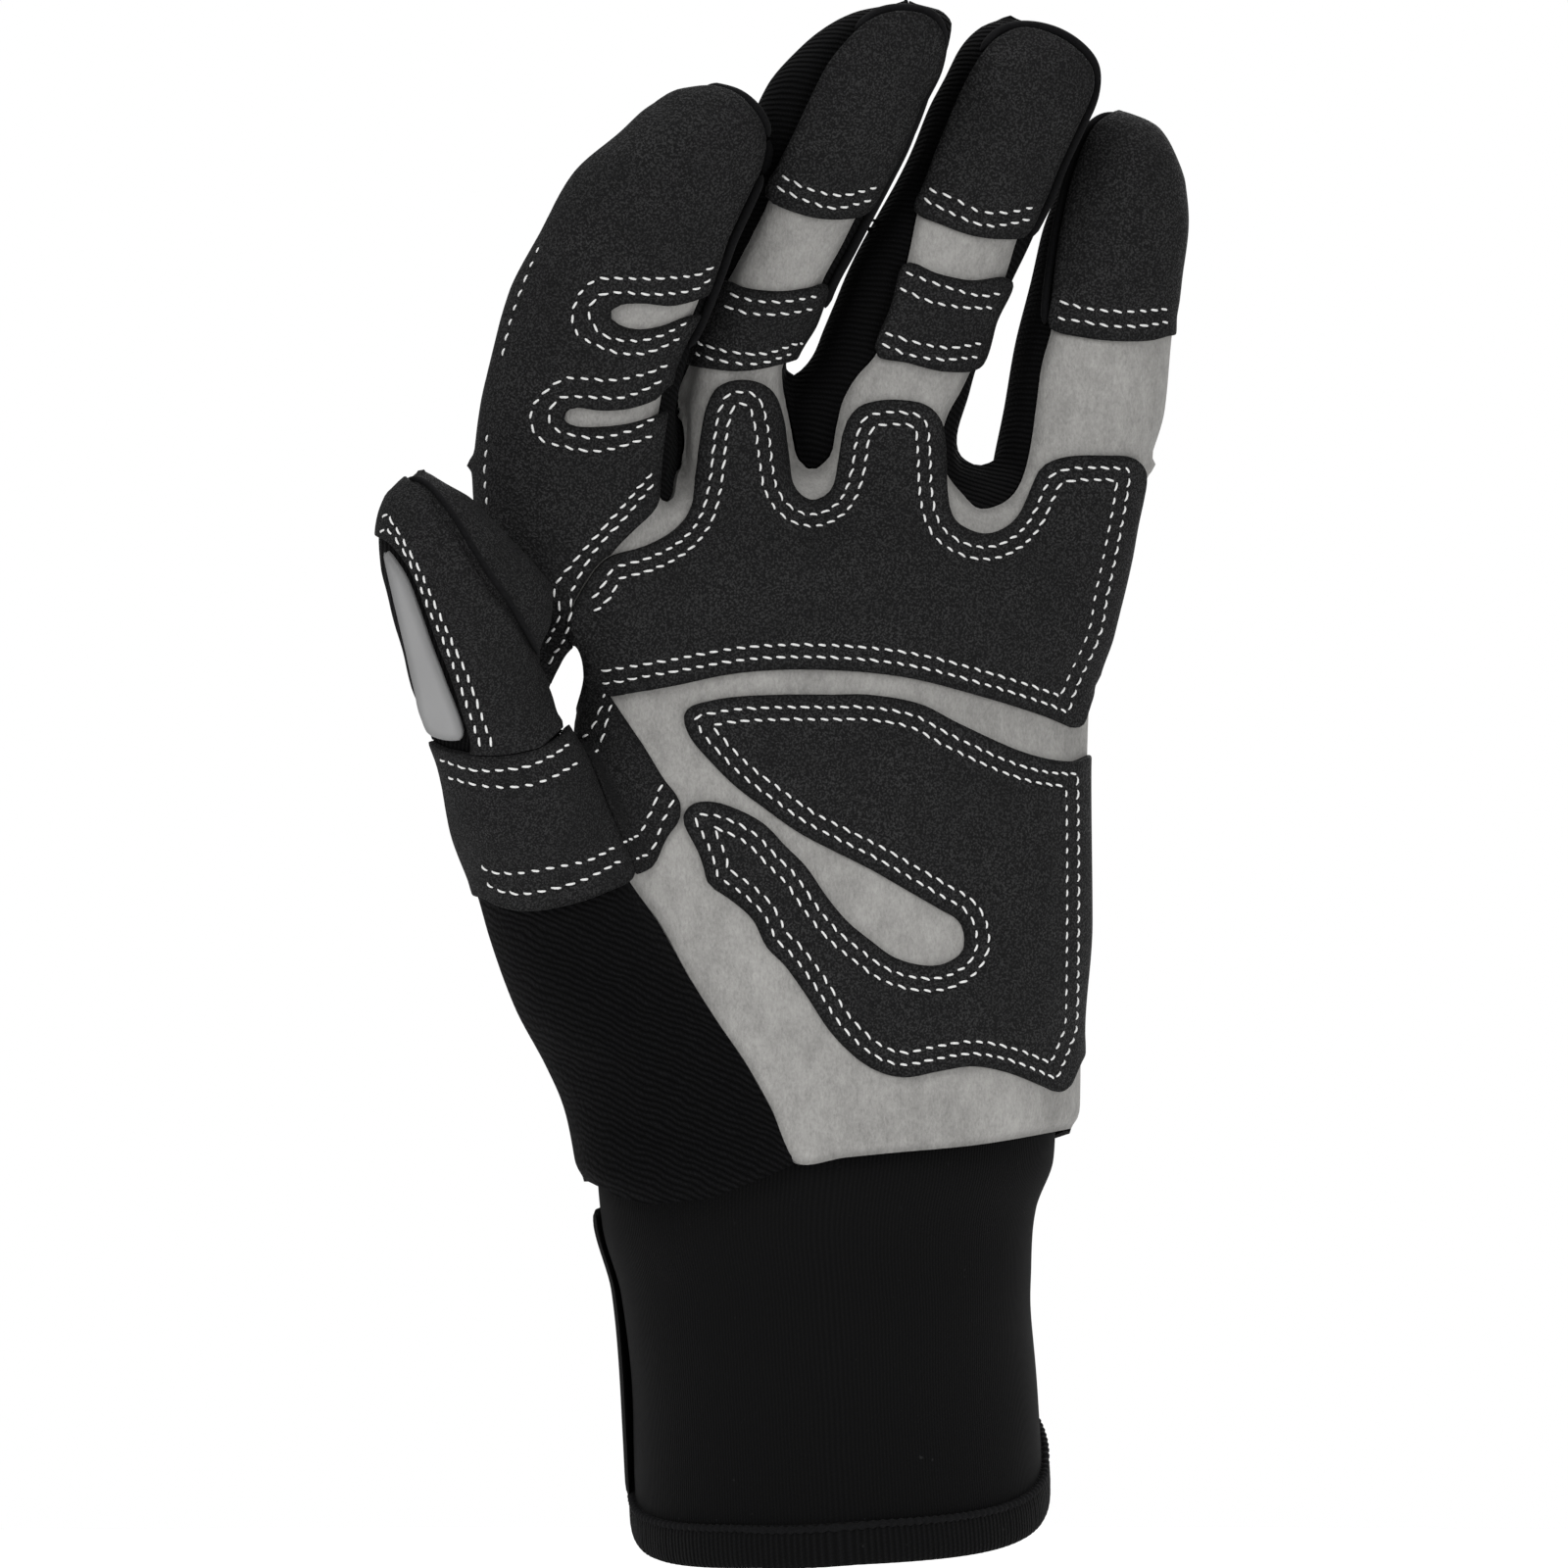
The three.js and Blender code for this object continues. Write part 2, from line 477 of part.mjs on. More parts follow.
function withNormals({ points, faces }) {
  const normals = points.map(() => [0, 0, 0]);
  for (const [a, b, c] of faces) {
    const u = new THREE.Vector3(...points[b]).sub(new THREE.Vector3(...points[a]));
    const v = new THREE.Vector3(...points[c]).sub(new THREE.Vector3(...points[a]));
    const n = u.cross(v);
    for (const i of [a, b, c]) {
      normals[i][0] += n.x;
      normals[i][1] += n.y;
      normals[i][2] += n.z;
    }
  }
  for (const n of normals) {
    const size = Math.hypot(...n) || 1;
    for (let q = 0; q < 3; q += 1) n[q] /= size;
  }
  return { points, faces, normals };
}

// Part of a sheet where the given function is positive, cut along straight lines inside its facets.
function keepWhere(sheet, test) {
  const points = [];
  const normals = [];
  const value = sheet.points.map((p) => test(...p));
  const known = new Map();
  const vertex = (i) => {
    if (!known.has(i)) {
      known.set(i, points.length);
      points.push(sheet.points[i]);
      normals.push(sheet.normals[i]);
    }
    return known.get(i);
  };
  const crossing = (i, j) => {
    const key = i < j ? `${i}_${j}` : `${j}_${i}`;
    if (!known.has(key)) {
      const [a, b] = i < j ? [i, j] : [j, i];
      const t = Math.min(0.92, Math.max(0.08, value[a] / (value[a] - value[b])));
      known.set(key, points.length);
      points.push(sheet.points[a].map((v, q) => v + t * (sheet.points[b][q] - v)));
      normals.push(sheet.normals[a].map((v, q) => v + t * (sheet.normals[b][q] - v)));
    }
    return known.get(key);
  };
  const faces = [];
  for (const face of sheet.faces) {
    const loop = [];
    for (let m = 0; m < 3; m += 1) {
      const [i, j] = [face[m], face[(m + 1) % 3]];
      if (value[i] > 0) loop.push(vertex(i));
      if (value[i] > 0 !== value[j] > 0) loop.push(crossing(i, j));
    }
    for (let m = 1; m + 1 < loop.length; m += 1) faces.push([loop[0], loop[m], loop[m + 1]]);
  }
  return { points, normals, faces };
}

// Sheet with its long edges halved wherever they run near the zero line of the given function.
function refined(sheet, test, size) {
  let { points, normals, faces } = sheet;
  points = [...points];
  normals = [...normals];
  const value = points.map((p) => test(...p));
  for (let pass = 0; pass < 4; pass += 1) {
    const middle = new Map();
    const split = (i, j) => {
      const key = i < j ? `${i}_${j}` : `${j}_${i}`;
      if (middle.has(key)) return middle.get(key);
      const length = Math.hypot(...points[i].map((v, q) => v - points[j][q]));
      const near = value[i] > 0 !== value[j] > 0 || Math.min(Math.abs(value[i]), Math.abs(value[j])) < 0.35 * length;
      let made = -1;
      if (near && length > 1.4 * size) {
        made = points.length;
        points.push(points[i].map((v, q) => (v + points[j][q]) / 2));
        normals.push(normals[i].map((v, q) => (v + normals[j][q]) / 2));
        value.push(test(...points[made]));
      }
      middle.set(key, made);
      return made;
    };
    const next = [];
    for (const [a, b, c] of faces) {
      const m = [split(a, b), split(b, c), split(c, a)];
      const marked = m.filter((v) => v >= 0).length;
      const corner = [a, b, c];
      if (marked === 0) next.push([a, b, c]);
      else if (marked === 3) next.push([a, m[0], m[2]], [m[0], b, m[1]], [m[2], m[1], c], [m[0], m[1], m[2]]);
      else if (marked === 1) {
        const k = m.findIndex((v) => v >= 0);
        const [p, q, r] = [corner[k], corner[(k + 1) % 3], corner[(k + 2) % 3]];
        next.push([p, m[k], r], [m[k], q, r]);
      } else {
        const k = m.findIndex((v) => v < 0);
        const [p, q, r] = [corner[k], corner[(k + 1) % 3], corner[(k + 2) % 3]];
        const [n, o] = [m[(k + 1) % 3], m[(k + 2) % 3]];
        next.push([n, r, o], [p, q, n], [p, n, o]);
      }
    }
    faces = next;
    if (![...middle.values()].some((v) => v >= 0)) break;
  }
  return { points, normals, faces };
}

// Largest connected part of a sheet.
function largest({ points, normals, faces }) {
  const parent = points.map((_, i) => i);
  const find = (i) => {
    let k = i;
    while (parent[k] !== k) k = parent[k] = parent[parent[k]];
    return k;
  };
  for (const [a, b, c] of faces) {
    parent[find(a)] = find(b);
    parent[find(b)] = find(c);
  }
  const count = new Map();
  for (const [a] of faces) count.set(find(a), (count.get(find(a)) || 0) + 1);
  const [best] = [...count.entries()].reduce((a, b) => (a[1] > b[1] ? a : b));
  return { points, normals, faces: faces.filter(([a]) => find(a) === best) };
}

// Cuts a sheet by several functions in turn, each kept where it is positive.
function cut(sheet, ...tests) {
  let result = sheet;
  for (const test of tests) result = keepWhere(refined(result, test, EDGE_FACET), test);
  return largest(result);
}

// Distance in millimetres from an outline drawn on the grid, positive inside it, seen from the palm side.
function within(outline, margin = 0) {
  const loop = outline.map(([column, row]) => [X(column), Z(row)]);
  return (x, y, z) => {
    let nearest = Infinity;
    let inside = false;
    for (let i = 0, j = loop.length - 1; i < loop.length; j = i, i += 1) {
      const [ax, az] = loop[j];
      const [bx, bz] = loop[i];
      const [ux, uz] = [bx - ax, bz - az];
      const t = Math.max(0, Math.min(1, ((x - ax) * ux + (z - az) * uz) / (ux * ux + uz * uz)));
      nearest = Math.min(nearest, Math.hypot(x - ax - t * ux, z - az - t * uz));
      if (az > z !== bz > z && x < ax + ((z - az) * ux) / uz) inside = !inside;
    }
    return (inside ? nearest : -nearest) - margin;
  };
}

const outsideOf = (outline, margin) => {
  const test = within(outline);
  return (x, y, z) => -test(x, y, z) - margin;
};

// Closed solid between two offsets of an open sheet, with a rim along its border.
function thicken({ points, normals, faces }, from, to) {
  const order = new Map();
  for (const i of faces.flat()) if (!order.has(i)) order.set(i, order.size);
  const n = order.size;
  const moved = (d) => [...order.keys()].map((i) => points[i].map((v, q) => v + d * normals[i][q]));
  const out = [];
  const edges = new Set();
  for (const face of faces) {
    const [a, b, c] = face.map((i) => order.get(i));
    out.push([a, b, c], [c + n, b + n, a + n]);
    edges.add(`${a}_${b}`).add(`${b}_${c}`).add(`${c}_${a}`);
  }
  for (const edge of edges) {
    const [a, b] = edge.split('_').map(Number);
    if (!edges.has(`${b}_${a}`)) out.push([b, a, a + n], [b, a + n, b + n]);
  }
  return { points: [...moved(to), ...moved(from)], faces: out };
}

// Section ring of the cuff, moved outwards by a distance.
function cuffPoint([row, left, right, depth, half, slope], outwards, angle) {
  const squared = (v) => Math.sign(v) * Math.abs(v) ** CUFF_ROUND;
  const x = ((X(right) - X(left)) / 2 + outwards) * squared(Math.cos(angle));
  const turn = Math.min(1, Math.max(0, slope / HEM_SLOPE));
  const y = (Y(half) + outwards) * squared(Math.sin(angle)) + x * PALM_LEAN * (1 - 0.8 * turn);
  const z = Z(row) + slope * y + HEM_SIDE_SLOPE * turn * x;
  return [(X(left) + X(right)) / 2 + x, Y(depth) + y, z];
}

function cuffRing(line, outwards) {
  return Array.from({ length: CUFF_SIDES }, (_, i) => cuffPoint(line, outwards, (2 * Math.PI * i) / CUFF_SIDES));
}

// Closed solid through a list of rings, the last ring joined back to the first.
function ringSolid(rings) {
  const sides = rings[0].length;
  const faces = [];
  for (let r = 0; r < rings.length; r += 1)
    for (let i = 0; i < sides; i += 1) {
      const a = r * sides + i;
      const b = r * sides + ((i + 1) % sides);
      const c = ((r + 1) % rings.length) * sides + i;
      const d = ((r + 1) % rings.length) * sides + ((i + 1) % sides);
      faces.push([a, c, b], [b, c, d]);
    }
  return { points: rings.flat(), faces };
}

function meshOf({ points, faces }, name, look) {
  const geometry = new THREE.BufferGeometry();
  geometry.setAttribute('position', new THREE.Float32BufferAttribute(points.flat(), 3));
  geometry.setIndex(faces.flat());
  const mesh = new THREE.Mesh(geometry, look);
  mesh.name = name;
  return mesh;
}

// Hollow body as a sheet, then its upper thumb, palm side and back side.
const fine = unpinched(surfaceNet(hand, [X(373), Y(-89), Z(1338)], [X(1230), Y(20), Z(-15)], [CELL, CELL, CELL]));
const net = withNormals(coarsened(fine, hand, FACET));
const open = keepWhere(net, (x, y, z) => z - Z(1290));
const thumbTop = (x, y, z) => Math.min(upperThumb(x, y, z), z - Z(THUMB_ROOT_ROW));
const thumbSheet = keepWhere(open, (x, y, z) => thumbTop(x, y, z) - SEAM_GAP / 2);
const handSheet = keepWhere(open, (x, y, z) => -thumbTop(x, y, z) - SEAM_GAP / 2);
const front = keepWhere(handSheet, (x, y, z) => palmSide(x, y, z) - SEAM_GAP);
const back = keepWhere(handSheet, (x, y, z) => -palmSide(x, y, z) - SEAM_GAP);
const thumbFront = keepWhere(thumbSheet, (x, y, z) => palmSide(x, y, z) - SEAM_GAP / 2);
const thumbBack = keepWhere(thumbSheet, (x, y, z) => -palmSide(x, y, z) - SEAM_GAP / 2);

const panel = (sheet) => thicken(sheet, -SHELL_WALL, 0);
const patch = (sheet) => thicken(sheet, LAYER_GAP, LAYER_GAP + PATCH_WALL);
const glove = new THREE.Group();
glove.name = 'mechanic_glove';
function add(name, result, color, roughness) {
  glove.add(meshOf(result, name, new THREE.MeshStandardMaterial({ color, roughness, metalness: 0 })));
}

// Region of the suede palm and finger fronts. The index finger stands in front of the middle one, so it has
// an outline of its own above the fork between them.
const { handLeft, handRight, thumbSeam } = OUTLINES;
const indexOutline = [
  ...handLeft, [560, 735], [530, 720], [470, 660], [470, 80], [640, 80], [690, 96], [727, 94], [753, 104], [771, 124],
  [778, 143], [774, 170], [765, 191], [741, 243], [732, 270], [712, 323], [697, 352], [684, 386], [676, 440],
  [674, 492], [683, 513], [800, 560], [1240, 560], [1240, 1140], ...handRight,
];
const palmOutline = [
  ...handLeft, [560, 735], [530, 720], [470, 660], [470, 560], [640, 540], [683, 513], [691, 495], [695, 465],
  [694, 436], [688, 402], [700, 369], [714, 330], [738, 288],
  [783, 202], [809, 141], [844, 70], [874, 35], [897, 20], [927, 16], [950, 23], [960, 41], [956, 70], [938, 103],
  [921, 147], [903, 182], [881, 217], [862, 255], [843, 290], [830, 330], [815, 362], [803, 374], [805, 407],
  [809, 442], [815, 466], [829, 477], [845, 465], [851, 436], [858, 407], [873, 383], [893, 361], [910, 310],
  [924, 268], [934, 216], [944, 188], [962, 141], [985, 88], [1006, 53], [1023, 38], [1044, 31], [1073, 38],
  [1097, 53], [1111, 70], [1111, 94], [1097, 126], [1079, 164], [1062, 205], [1044, 239], [1030, 284], [1014, 325],
  [998, 372], [985, 400], [971, 425], [963, 457], [969, 480], [987, 503], [1001, 516], [1024, 510], [1038, 496],
  [1047, 467], [1051, 444], [1056, 407], [1061, 370], [1071, 334], [1075, 305], [1082, 249], [1091, 205],
  [1103, 164], [1117, 132], [1133, 118], [1165, 100], [1240, 120], [1240, 1140], ...handRight,
];
const [inIndex, inPalm] = [within(indexOutline), within(palmOutline)];
const isIndex = (x, y, z) => digit('index', x, y, z) > limbs.middle.value(x, y, z);
const palmTest = (x, y, z) => (isIndex(x, y, z) ? inIndex : inPalm)(x, y, z);
add('palm_panel', panel(cut(front, (x, y, z) => palmTest(x, y, z) - SEAM_GAP / 2)), GRAY, 0.95);
const backOutline = [[380, -60], [1260, -60], [1260, 1160], [1080, 1175], [860, 1195], [700, 1210], [560, 1205],
  [380, 1100]];
add('back_panel', panel(cut(back, within(backOutline))), BLACK, 0.9);

// Side strips: everything of the palm side outside that region, split along the middle of each finger.
const STRIPS = {
  fourchette_index_middle: [[640, 60], [640, 520], [700, 540], [752, 470], [756, 400], [775, 300], [802, 200], [925, 17],
    [925, -40], [640, -40]],
  fourchette_middle_ring: [[928, 17], [805, 200], [778, 300], [759, 400], [756, 500], [900, 540], [912, 400], [942, 300], [1044, 33],
    [1044, -40], [928, -40]],
  fourchette_ring_little: [[1047, 33], [945, 300], [915, 400], [905, 540], [1100, 540], [1110, 300], [1150, 100], [1160, -40],
    [1047, -40]],
};
for (const [name, outline] of Object.entries(STRIPS))
  add(name, panel(cut(front, (x, y, z) => -palmTest(x, y, z) - SEAM_GAP / 2, within(outline))), BLACK, 0.92);

// Knit at the thumb's base: left of the suede, below the thumb's tube.
const knitOutline = [...handLeft.slice(0, -1).map(([column, row]) => [column, row]), [573, 744], [380, 744],
  [380, 1180], [560, 1215], [616, 1220], [662, 1229], [728, 1222], [778, 1202]];
add('thumb_knit_panel', panel(cut(front, within(knitOutline, SEAM_GAP / 2))), KNIT, 1);

// Thumb tube, split along its centre seam on the palm side.
const innerOutline = [...thumbSeam, [600, 742], [640, 700], [640, 478]];
add('thumb_inner', panel(cut(thumbFront, within(innerOutline, SEAM_GAP / 2))), LEATHER, 0.85);
add('thumb_outer', panel(cut(thumbFront, outsideOf(innerOutline, SEAM_GAP / 2))), BLACK, 0.9);
add('thumb_back', panel(largest(thumbBack)), BLACK, 0.9);
const { thumbPatchLeft } = OUTLINES;
const thumbPatchOutline = [...thumbPatchLeft, ...thumbSeam.slice(1, -1), [570, 745]];
add('thumb_patch', patch(cut(thumbFront, within(thumbPatchOutline, SEAM_GAP / 2))), LEATHER, 0.85);
add('thumb_insert', patch(cut(thumbFront, within(OUTLINES.thumbInsert))), COOL_GRAY, 0.6);

// Reinforcements.
const { saddleTop, saddleTopInner, saddleBottom, saddleBottomInner } = OUTLINES;
const seamLower = [[577, 741], [595, 768], [617, 821], [646, 894]];
const outerBand = [...saddleTop, ...seamLower, ...saddleBottom.slice(1)];
const innerBand = [...saddleTopInner, ...saddleBottomInner, ...seamLower.slice(1).reverse()];
add('saddle_band_outer', patch(cut(front, within(outerBand, SEAM_GAP / 2))), LEATHER, 0.85);
add('saddle_band_inner', patch(cut(front, within(innerBand, SEAM_GAP / 2))), LEATHER, 0.85);
const indexSide = (x, y, z) => digit('index', x, y, z) - limbs.middle.value(x, y, z);
add('index_patch', patch(cut(front, indexSide, within(OUTLINES.indexPatch), outsideOf(OUTLINES.slotOne, 0),
  outsideOf(OUTLINES.slotTwo, 0), outsideOf(OUTLINES.knucklePatch, 2 * SEAM_GAP))), LEATHER, 0.85);
for (const [name, outline] of [['middle_tip_patch', 'middleTip'], ['middle_band', 'middleBand'],
  ['ring_tip_patch', 'ringTip'], ['ring_band', 'ringBand'], ['little_tip_patch', 'littleTip'],
  ['knuckle_patch', 'knucklePatch'], ['heel_patch', 'heelPatch']])
  add(name, patch(cut(front, within(OUTLINES[outline], SEAM_GAP / 2))), LEATHER, 0.85);

// Cuff: a tapering sleeve, open at both ends, its rings leaning back towards the hem.
const outerRings = CUFF_RINGS.map((line) => cuffRing(line, 0));
const innerRings = CUFF_RINGS.map((line) => cuffRing(line, -CUFF_WALL)).reverse();
add('cuff_sleeve', ringSolid([...outerRings, ...innerRings]), BLACK, 0.8);

// Tab on the back of the wrist, a curved strap end that stands a little off the cuff.
const lineAt = (row) => CUFF_RINGS[0].map((_, i) => curve(CUFF_RINGS.map((l) => l[0]), CUFF_RINGS.map((l) => l[i]))(row));
const tabGrid = { points: [], normals: [], faces: [] };
for (let r = 0; r <= TAB_STEPS; r += 1)
  for (let i = 0; i <= TAB_STEPS; i += 1) {
    const row = TAB_TOP + ((TAB_BOTTOM - TAB_TOP) * r) / TAB_STEPS;
    const angle = TAB_START + ((TAB_END - TAB_START) * i) / TAB_STEPS;
    const [p, q] = [0, 1].map((out) => cuffPoint(lineAt(row), out, angle));
    tabGrid.points.push(p);
    tabGrid.normals.push(q.map((v, k) => v - p[k]));
    if (r < TAB_STEPS && i < TAB_STEPS) {
      const a = r * (TAB_STEPS + 1) + i;
      const c = a + TAB_STEPS + 1;
      tabGrid.faces.push([a, c, a + 1], [a + 1, c, c + 1]);
    }
  }
add('wrist_tab', thicken(tabGrid, TAB_STANDOFF, TAB_STANDOFF + TAB_WALL), KNIT, 0.9);

// Hem: a folded band round the cuff's lower edge. Each pair: outwards, along.
const [beforeRing, lastRing] = CUFF_RINGS.slice(-2);
const hemLine = (along) => {
  const t = (along * ROWS_LONG) / GLOVE_LENGTH / (lastRing[0] - beforeRing[0]);
  return lastRing.map((value, i) => value + t * (value - beforeRing[i]));
};
const HEM_PROFILE = [[LAYER_GAP, -HEM_HEIGHT], [LAYER_GAP + HEM_WALL, -HEM_HEIGHT], [LAYER_GAP + HEM_WALL, 0.6],
  [-CUFF_WALL / 2, 1.6], [-CUFF_WALL - LAYER_GAP - HEM_WALL, 0.6], [-CUFF_WALL - LAYER_GAP - HEM_WALL, -HEM_HEIGHT],
  [-CUFF_WALL - LAYER_GAP, -HEM_HEIGHT], [-CUFF_WALL - LAYER_GAP, 0.3], [LAYER_GAP, 0.3]];
add('hem_binding', ringSolid(HEM_PROFILE.map(([out, along]) => cuffRing(hemLine(along), out))), KNIT, 0.9);

export default glove;
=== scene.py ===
"""Left-hand mechanic glove in its worn form: suede palm, stitched dark pads, ribbed side strips, cuff."""
import functools
import math

import bpy
import numpy as np
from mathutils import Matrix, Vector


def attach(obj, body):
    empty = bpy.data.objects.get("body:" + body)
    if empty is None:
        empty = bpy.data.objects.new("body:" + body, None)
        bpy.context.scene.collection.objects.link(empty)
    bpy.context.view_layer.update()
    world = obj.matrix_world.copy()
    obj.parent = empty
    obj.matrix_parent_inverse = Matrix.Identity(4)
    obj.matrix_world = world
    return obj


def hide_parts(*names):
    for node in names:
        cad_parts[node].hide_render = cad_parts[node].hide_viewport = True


bl_info = {
    "name": "Mechanic Glove",
    "version": (1, 0, 0),
    "blender": (4, 5, 0),
    "location": "View3D > Sidebar > Glove",
    "description": "Builds a stitched work glove panel by panel",
    "category": "Add Mesh",
}

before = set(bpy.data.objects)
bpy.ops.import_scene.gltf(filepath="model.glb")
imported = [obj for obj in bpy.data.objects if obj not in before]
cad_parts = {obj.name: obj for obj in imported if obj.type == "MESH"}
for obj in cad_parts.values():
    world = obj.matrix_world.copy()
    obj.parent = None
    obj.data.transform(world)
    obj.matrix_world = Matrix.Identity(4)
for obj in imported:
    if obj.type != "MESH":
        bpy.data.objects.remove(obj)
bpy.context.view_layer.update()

# Driving sizes, in millimetres
GLOVE_LENGTH = 271.0
GLOVE_WIDTH = 139.6
SHELL_WALL = 1.2
LAYER_GAP = 0.25
CUFF_WALL = 1.5
PALM_LEAN = 0.34
ROOT_BLEND = 4.0
SEAM_BEHIND = 4.0
SEAM_EASE = 1.6
PARTING = 1.8
CUFF_ROUND = 0.84
HEM_SLOPE = 0.575
HEM_SIDE_SLOPE = 0.035
# How far the hem hangs lower at its two sides than a flat cut would, in millimetres.
HEM_SAG = 5.5
# Columns and rows of the line where the thumb's free tube meets the band over its base.
THUMB_ROOT = ((400, 442, 463, 507, 548, 577, 640), (744, 755, 764, 770, 764, 743, 742))

# The drawing grid, seen from the palm side: columns to the right, rows down.
COLUMNS_WIDE = 821
ROWS_LONG = 1595
MIDDLE_COLUMN = 858
HEM_ROW = 1515
PIXEL = GLOVE_LENGTH / ROWS_LONG


def across(column):
    """Column of the drawing as millimetres to the right of the cuff's middle."""
    return (np.asarray(column, float) - MIDDLE_COLUMN) * GLOVE_WIDTH / COLUMNS_WIDE


def upward(row):
    """Row of the drawing as millimetres above the hem."""
    return (HEM_ROW - np.asarray(row, float)) * GLOVE_LENGTH / ROWS_LONG


# Sections of the hollow body. Each line: row, left edge, right edge, depth of the middle, half thickness.
SECTIONS = {
  "palm": {"power": 2.5, "lean": PALM_LEAN, "rows": [
    [475, 640, 1080, -27, 1], [488, 600, 1105, -27, 6], [523, 565, 1132, -27, 12],
    [584, 572, 1138, -27, 15.5], [645, 589, 1132, -27, 16], [700, 602, 1114, -27, 16.5],
    [745, 590, 1111, -27, 17], [800, 590, 1110, -27, 17.5], [941, 600, 1111, -27, 18.5],
    [1049, 600, 1104, -27, 20.5], [1129, 598, 1103, -26, 23], [1186, 594, 1089, -25, 25],
    [1230, 604, 1084, -23, 26], [1320, 612, 1078, -20, 27],
  ]},
  "index": {"power": 2.2, "lean": 0.1, "rows": [
    [91, 722, 732, -57, 1], [100, 688, 757, -57, 5], [114, 665, 775, -56.5, 7.5], [141, 636, 785, -56, 10],
    [182, 589, 778, -55, 11.5], [243, 555, 756, -53.5, 12], [300, 525, 732, -52, 12.3],
    [356, 509, 707, -50, 12.5], [430, 493, 690, -47.5, 13], [490, 487, 688, -45, 13.5],
    [560, 494, 700, -43, 14], [620, 520, 715, -42, 14], [680, 570, 730, -41, 12], [720, 610, 740, -40, 6],
  ]},
  "middle": {"power": 2.2, "lean": 0.1, "rows": [
    [2, 920, 930, -44, 1], [12, 874, 962, -44, 6], [26, 845, 972, -43.5, 8.5], [47, 818, 970, -43, 10],
    [88, 782, 955, -41.5, 11.5], [147, 757, 932, -39.5, 12], [204, 740, 901, -38, 12],
    [260, 722, 867, -36.5, 12], [304, 708, 847, -35.5, 12], [376, 690, 806, -34, 12.5],
    [440, 685, 798, -33, 13], [500, 690, 815, -32.5, 13], [560, 700, 840, -32, 13],
    [620, 720, 850, -32, 10], [660, 740, 840, -32, 4],
  ]},
  "ring": {"power": 2.2, "lean": 0.1, "rows": [
    [18, 1020, 1040, -27, 1], [25, 1002, 1073, -27, 5], [41, 984, 1103, -27, 8], [64, 969, 1121, -27, 10],
    [103, 948, 1120, -26.5, 11.3], [164, 922, 1088, -26, 11.8], [216, 895, 1067, -25.5, 12],
    [260, 870, 1048, -25, 12], [304, 852, 1029, -24.5, 12], [350, 833, 1010, -24, 12.2],
    [400, 826, 993, -23.5, 12.5], [450, 832, 978, -23, 13], [500, 835, 985, -23, 13],
    [560, 845, 990, -23, 12.5], [620, 860, 980, -23, 9], [660, 880, 960, -23, 4],
  ]},
  "little": {"power": 2.2, "lean": 0.1, "rows": [
    [113, 1128, 1142, -12, 1], [122, 1108, 1168, -12, 5], [132, 1099, 1182, -12, 7.5],
    [158, 1090, 1197, -12, 9.5], [188, 1079, 1207, -11.5, 10.3], [223, 1066, 1210, -11.5, 10.7],
    [284, 1052, 1203, -11, 11], [352, 1035, 1196, -11, 11.2], [416, 1024, 1190, -10.5, 11.5],
    [470, 1013, 1174, -10.5, 12], [520, 1005, 1157, -10.5, 12], [570, 1000, 1145, -11, 12],
    [630, 1000, 1124, -12, 10], [690, 1010, 1096, -13, 4],
  ]},
  "thumb": {"power": 2.1, "lean": 0.1, "rows": [
    [485, 425, 440, -70, 1], [495, 413, 456, -70, 5], [510, 398, 482, -69.5, 8], [530, 391, 502, -69, 10],
    [550, 389, 521, -68.5, 11], [580, 391, 549, -67.5, 12], [605, 397, 565, -66.5, 12.5],
    [635, 404, 563, -65, 12.5], [665, 413, 552, -63, 12.5], [700, 421, 557, -61, 13],
    [739, 437, 576, -58.5, 13.5], [790, 453, 610, -55, 14.5], [850, 465, 640, -52, 16],
    [910, 487, 665, -49, 17], [959, 501, 690, -46, 17.5], [1028, 526, 730, -42, 18],
    [1085, 556, 760, -38.5, 18.5], [1130, 577, 790, -35.5, 19], [1174, 590, 810, -32, 20],
    [1230, 604, 830, -28, 21], [1320, 612, 850, -24, 22],
  ]},
}

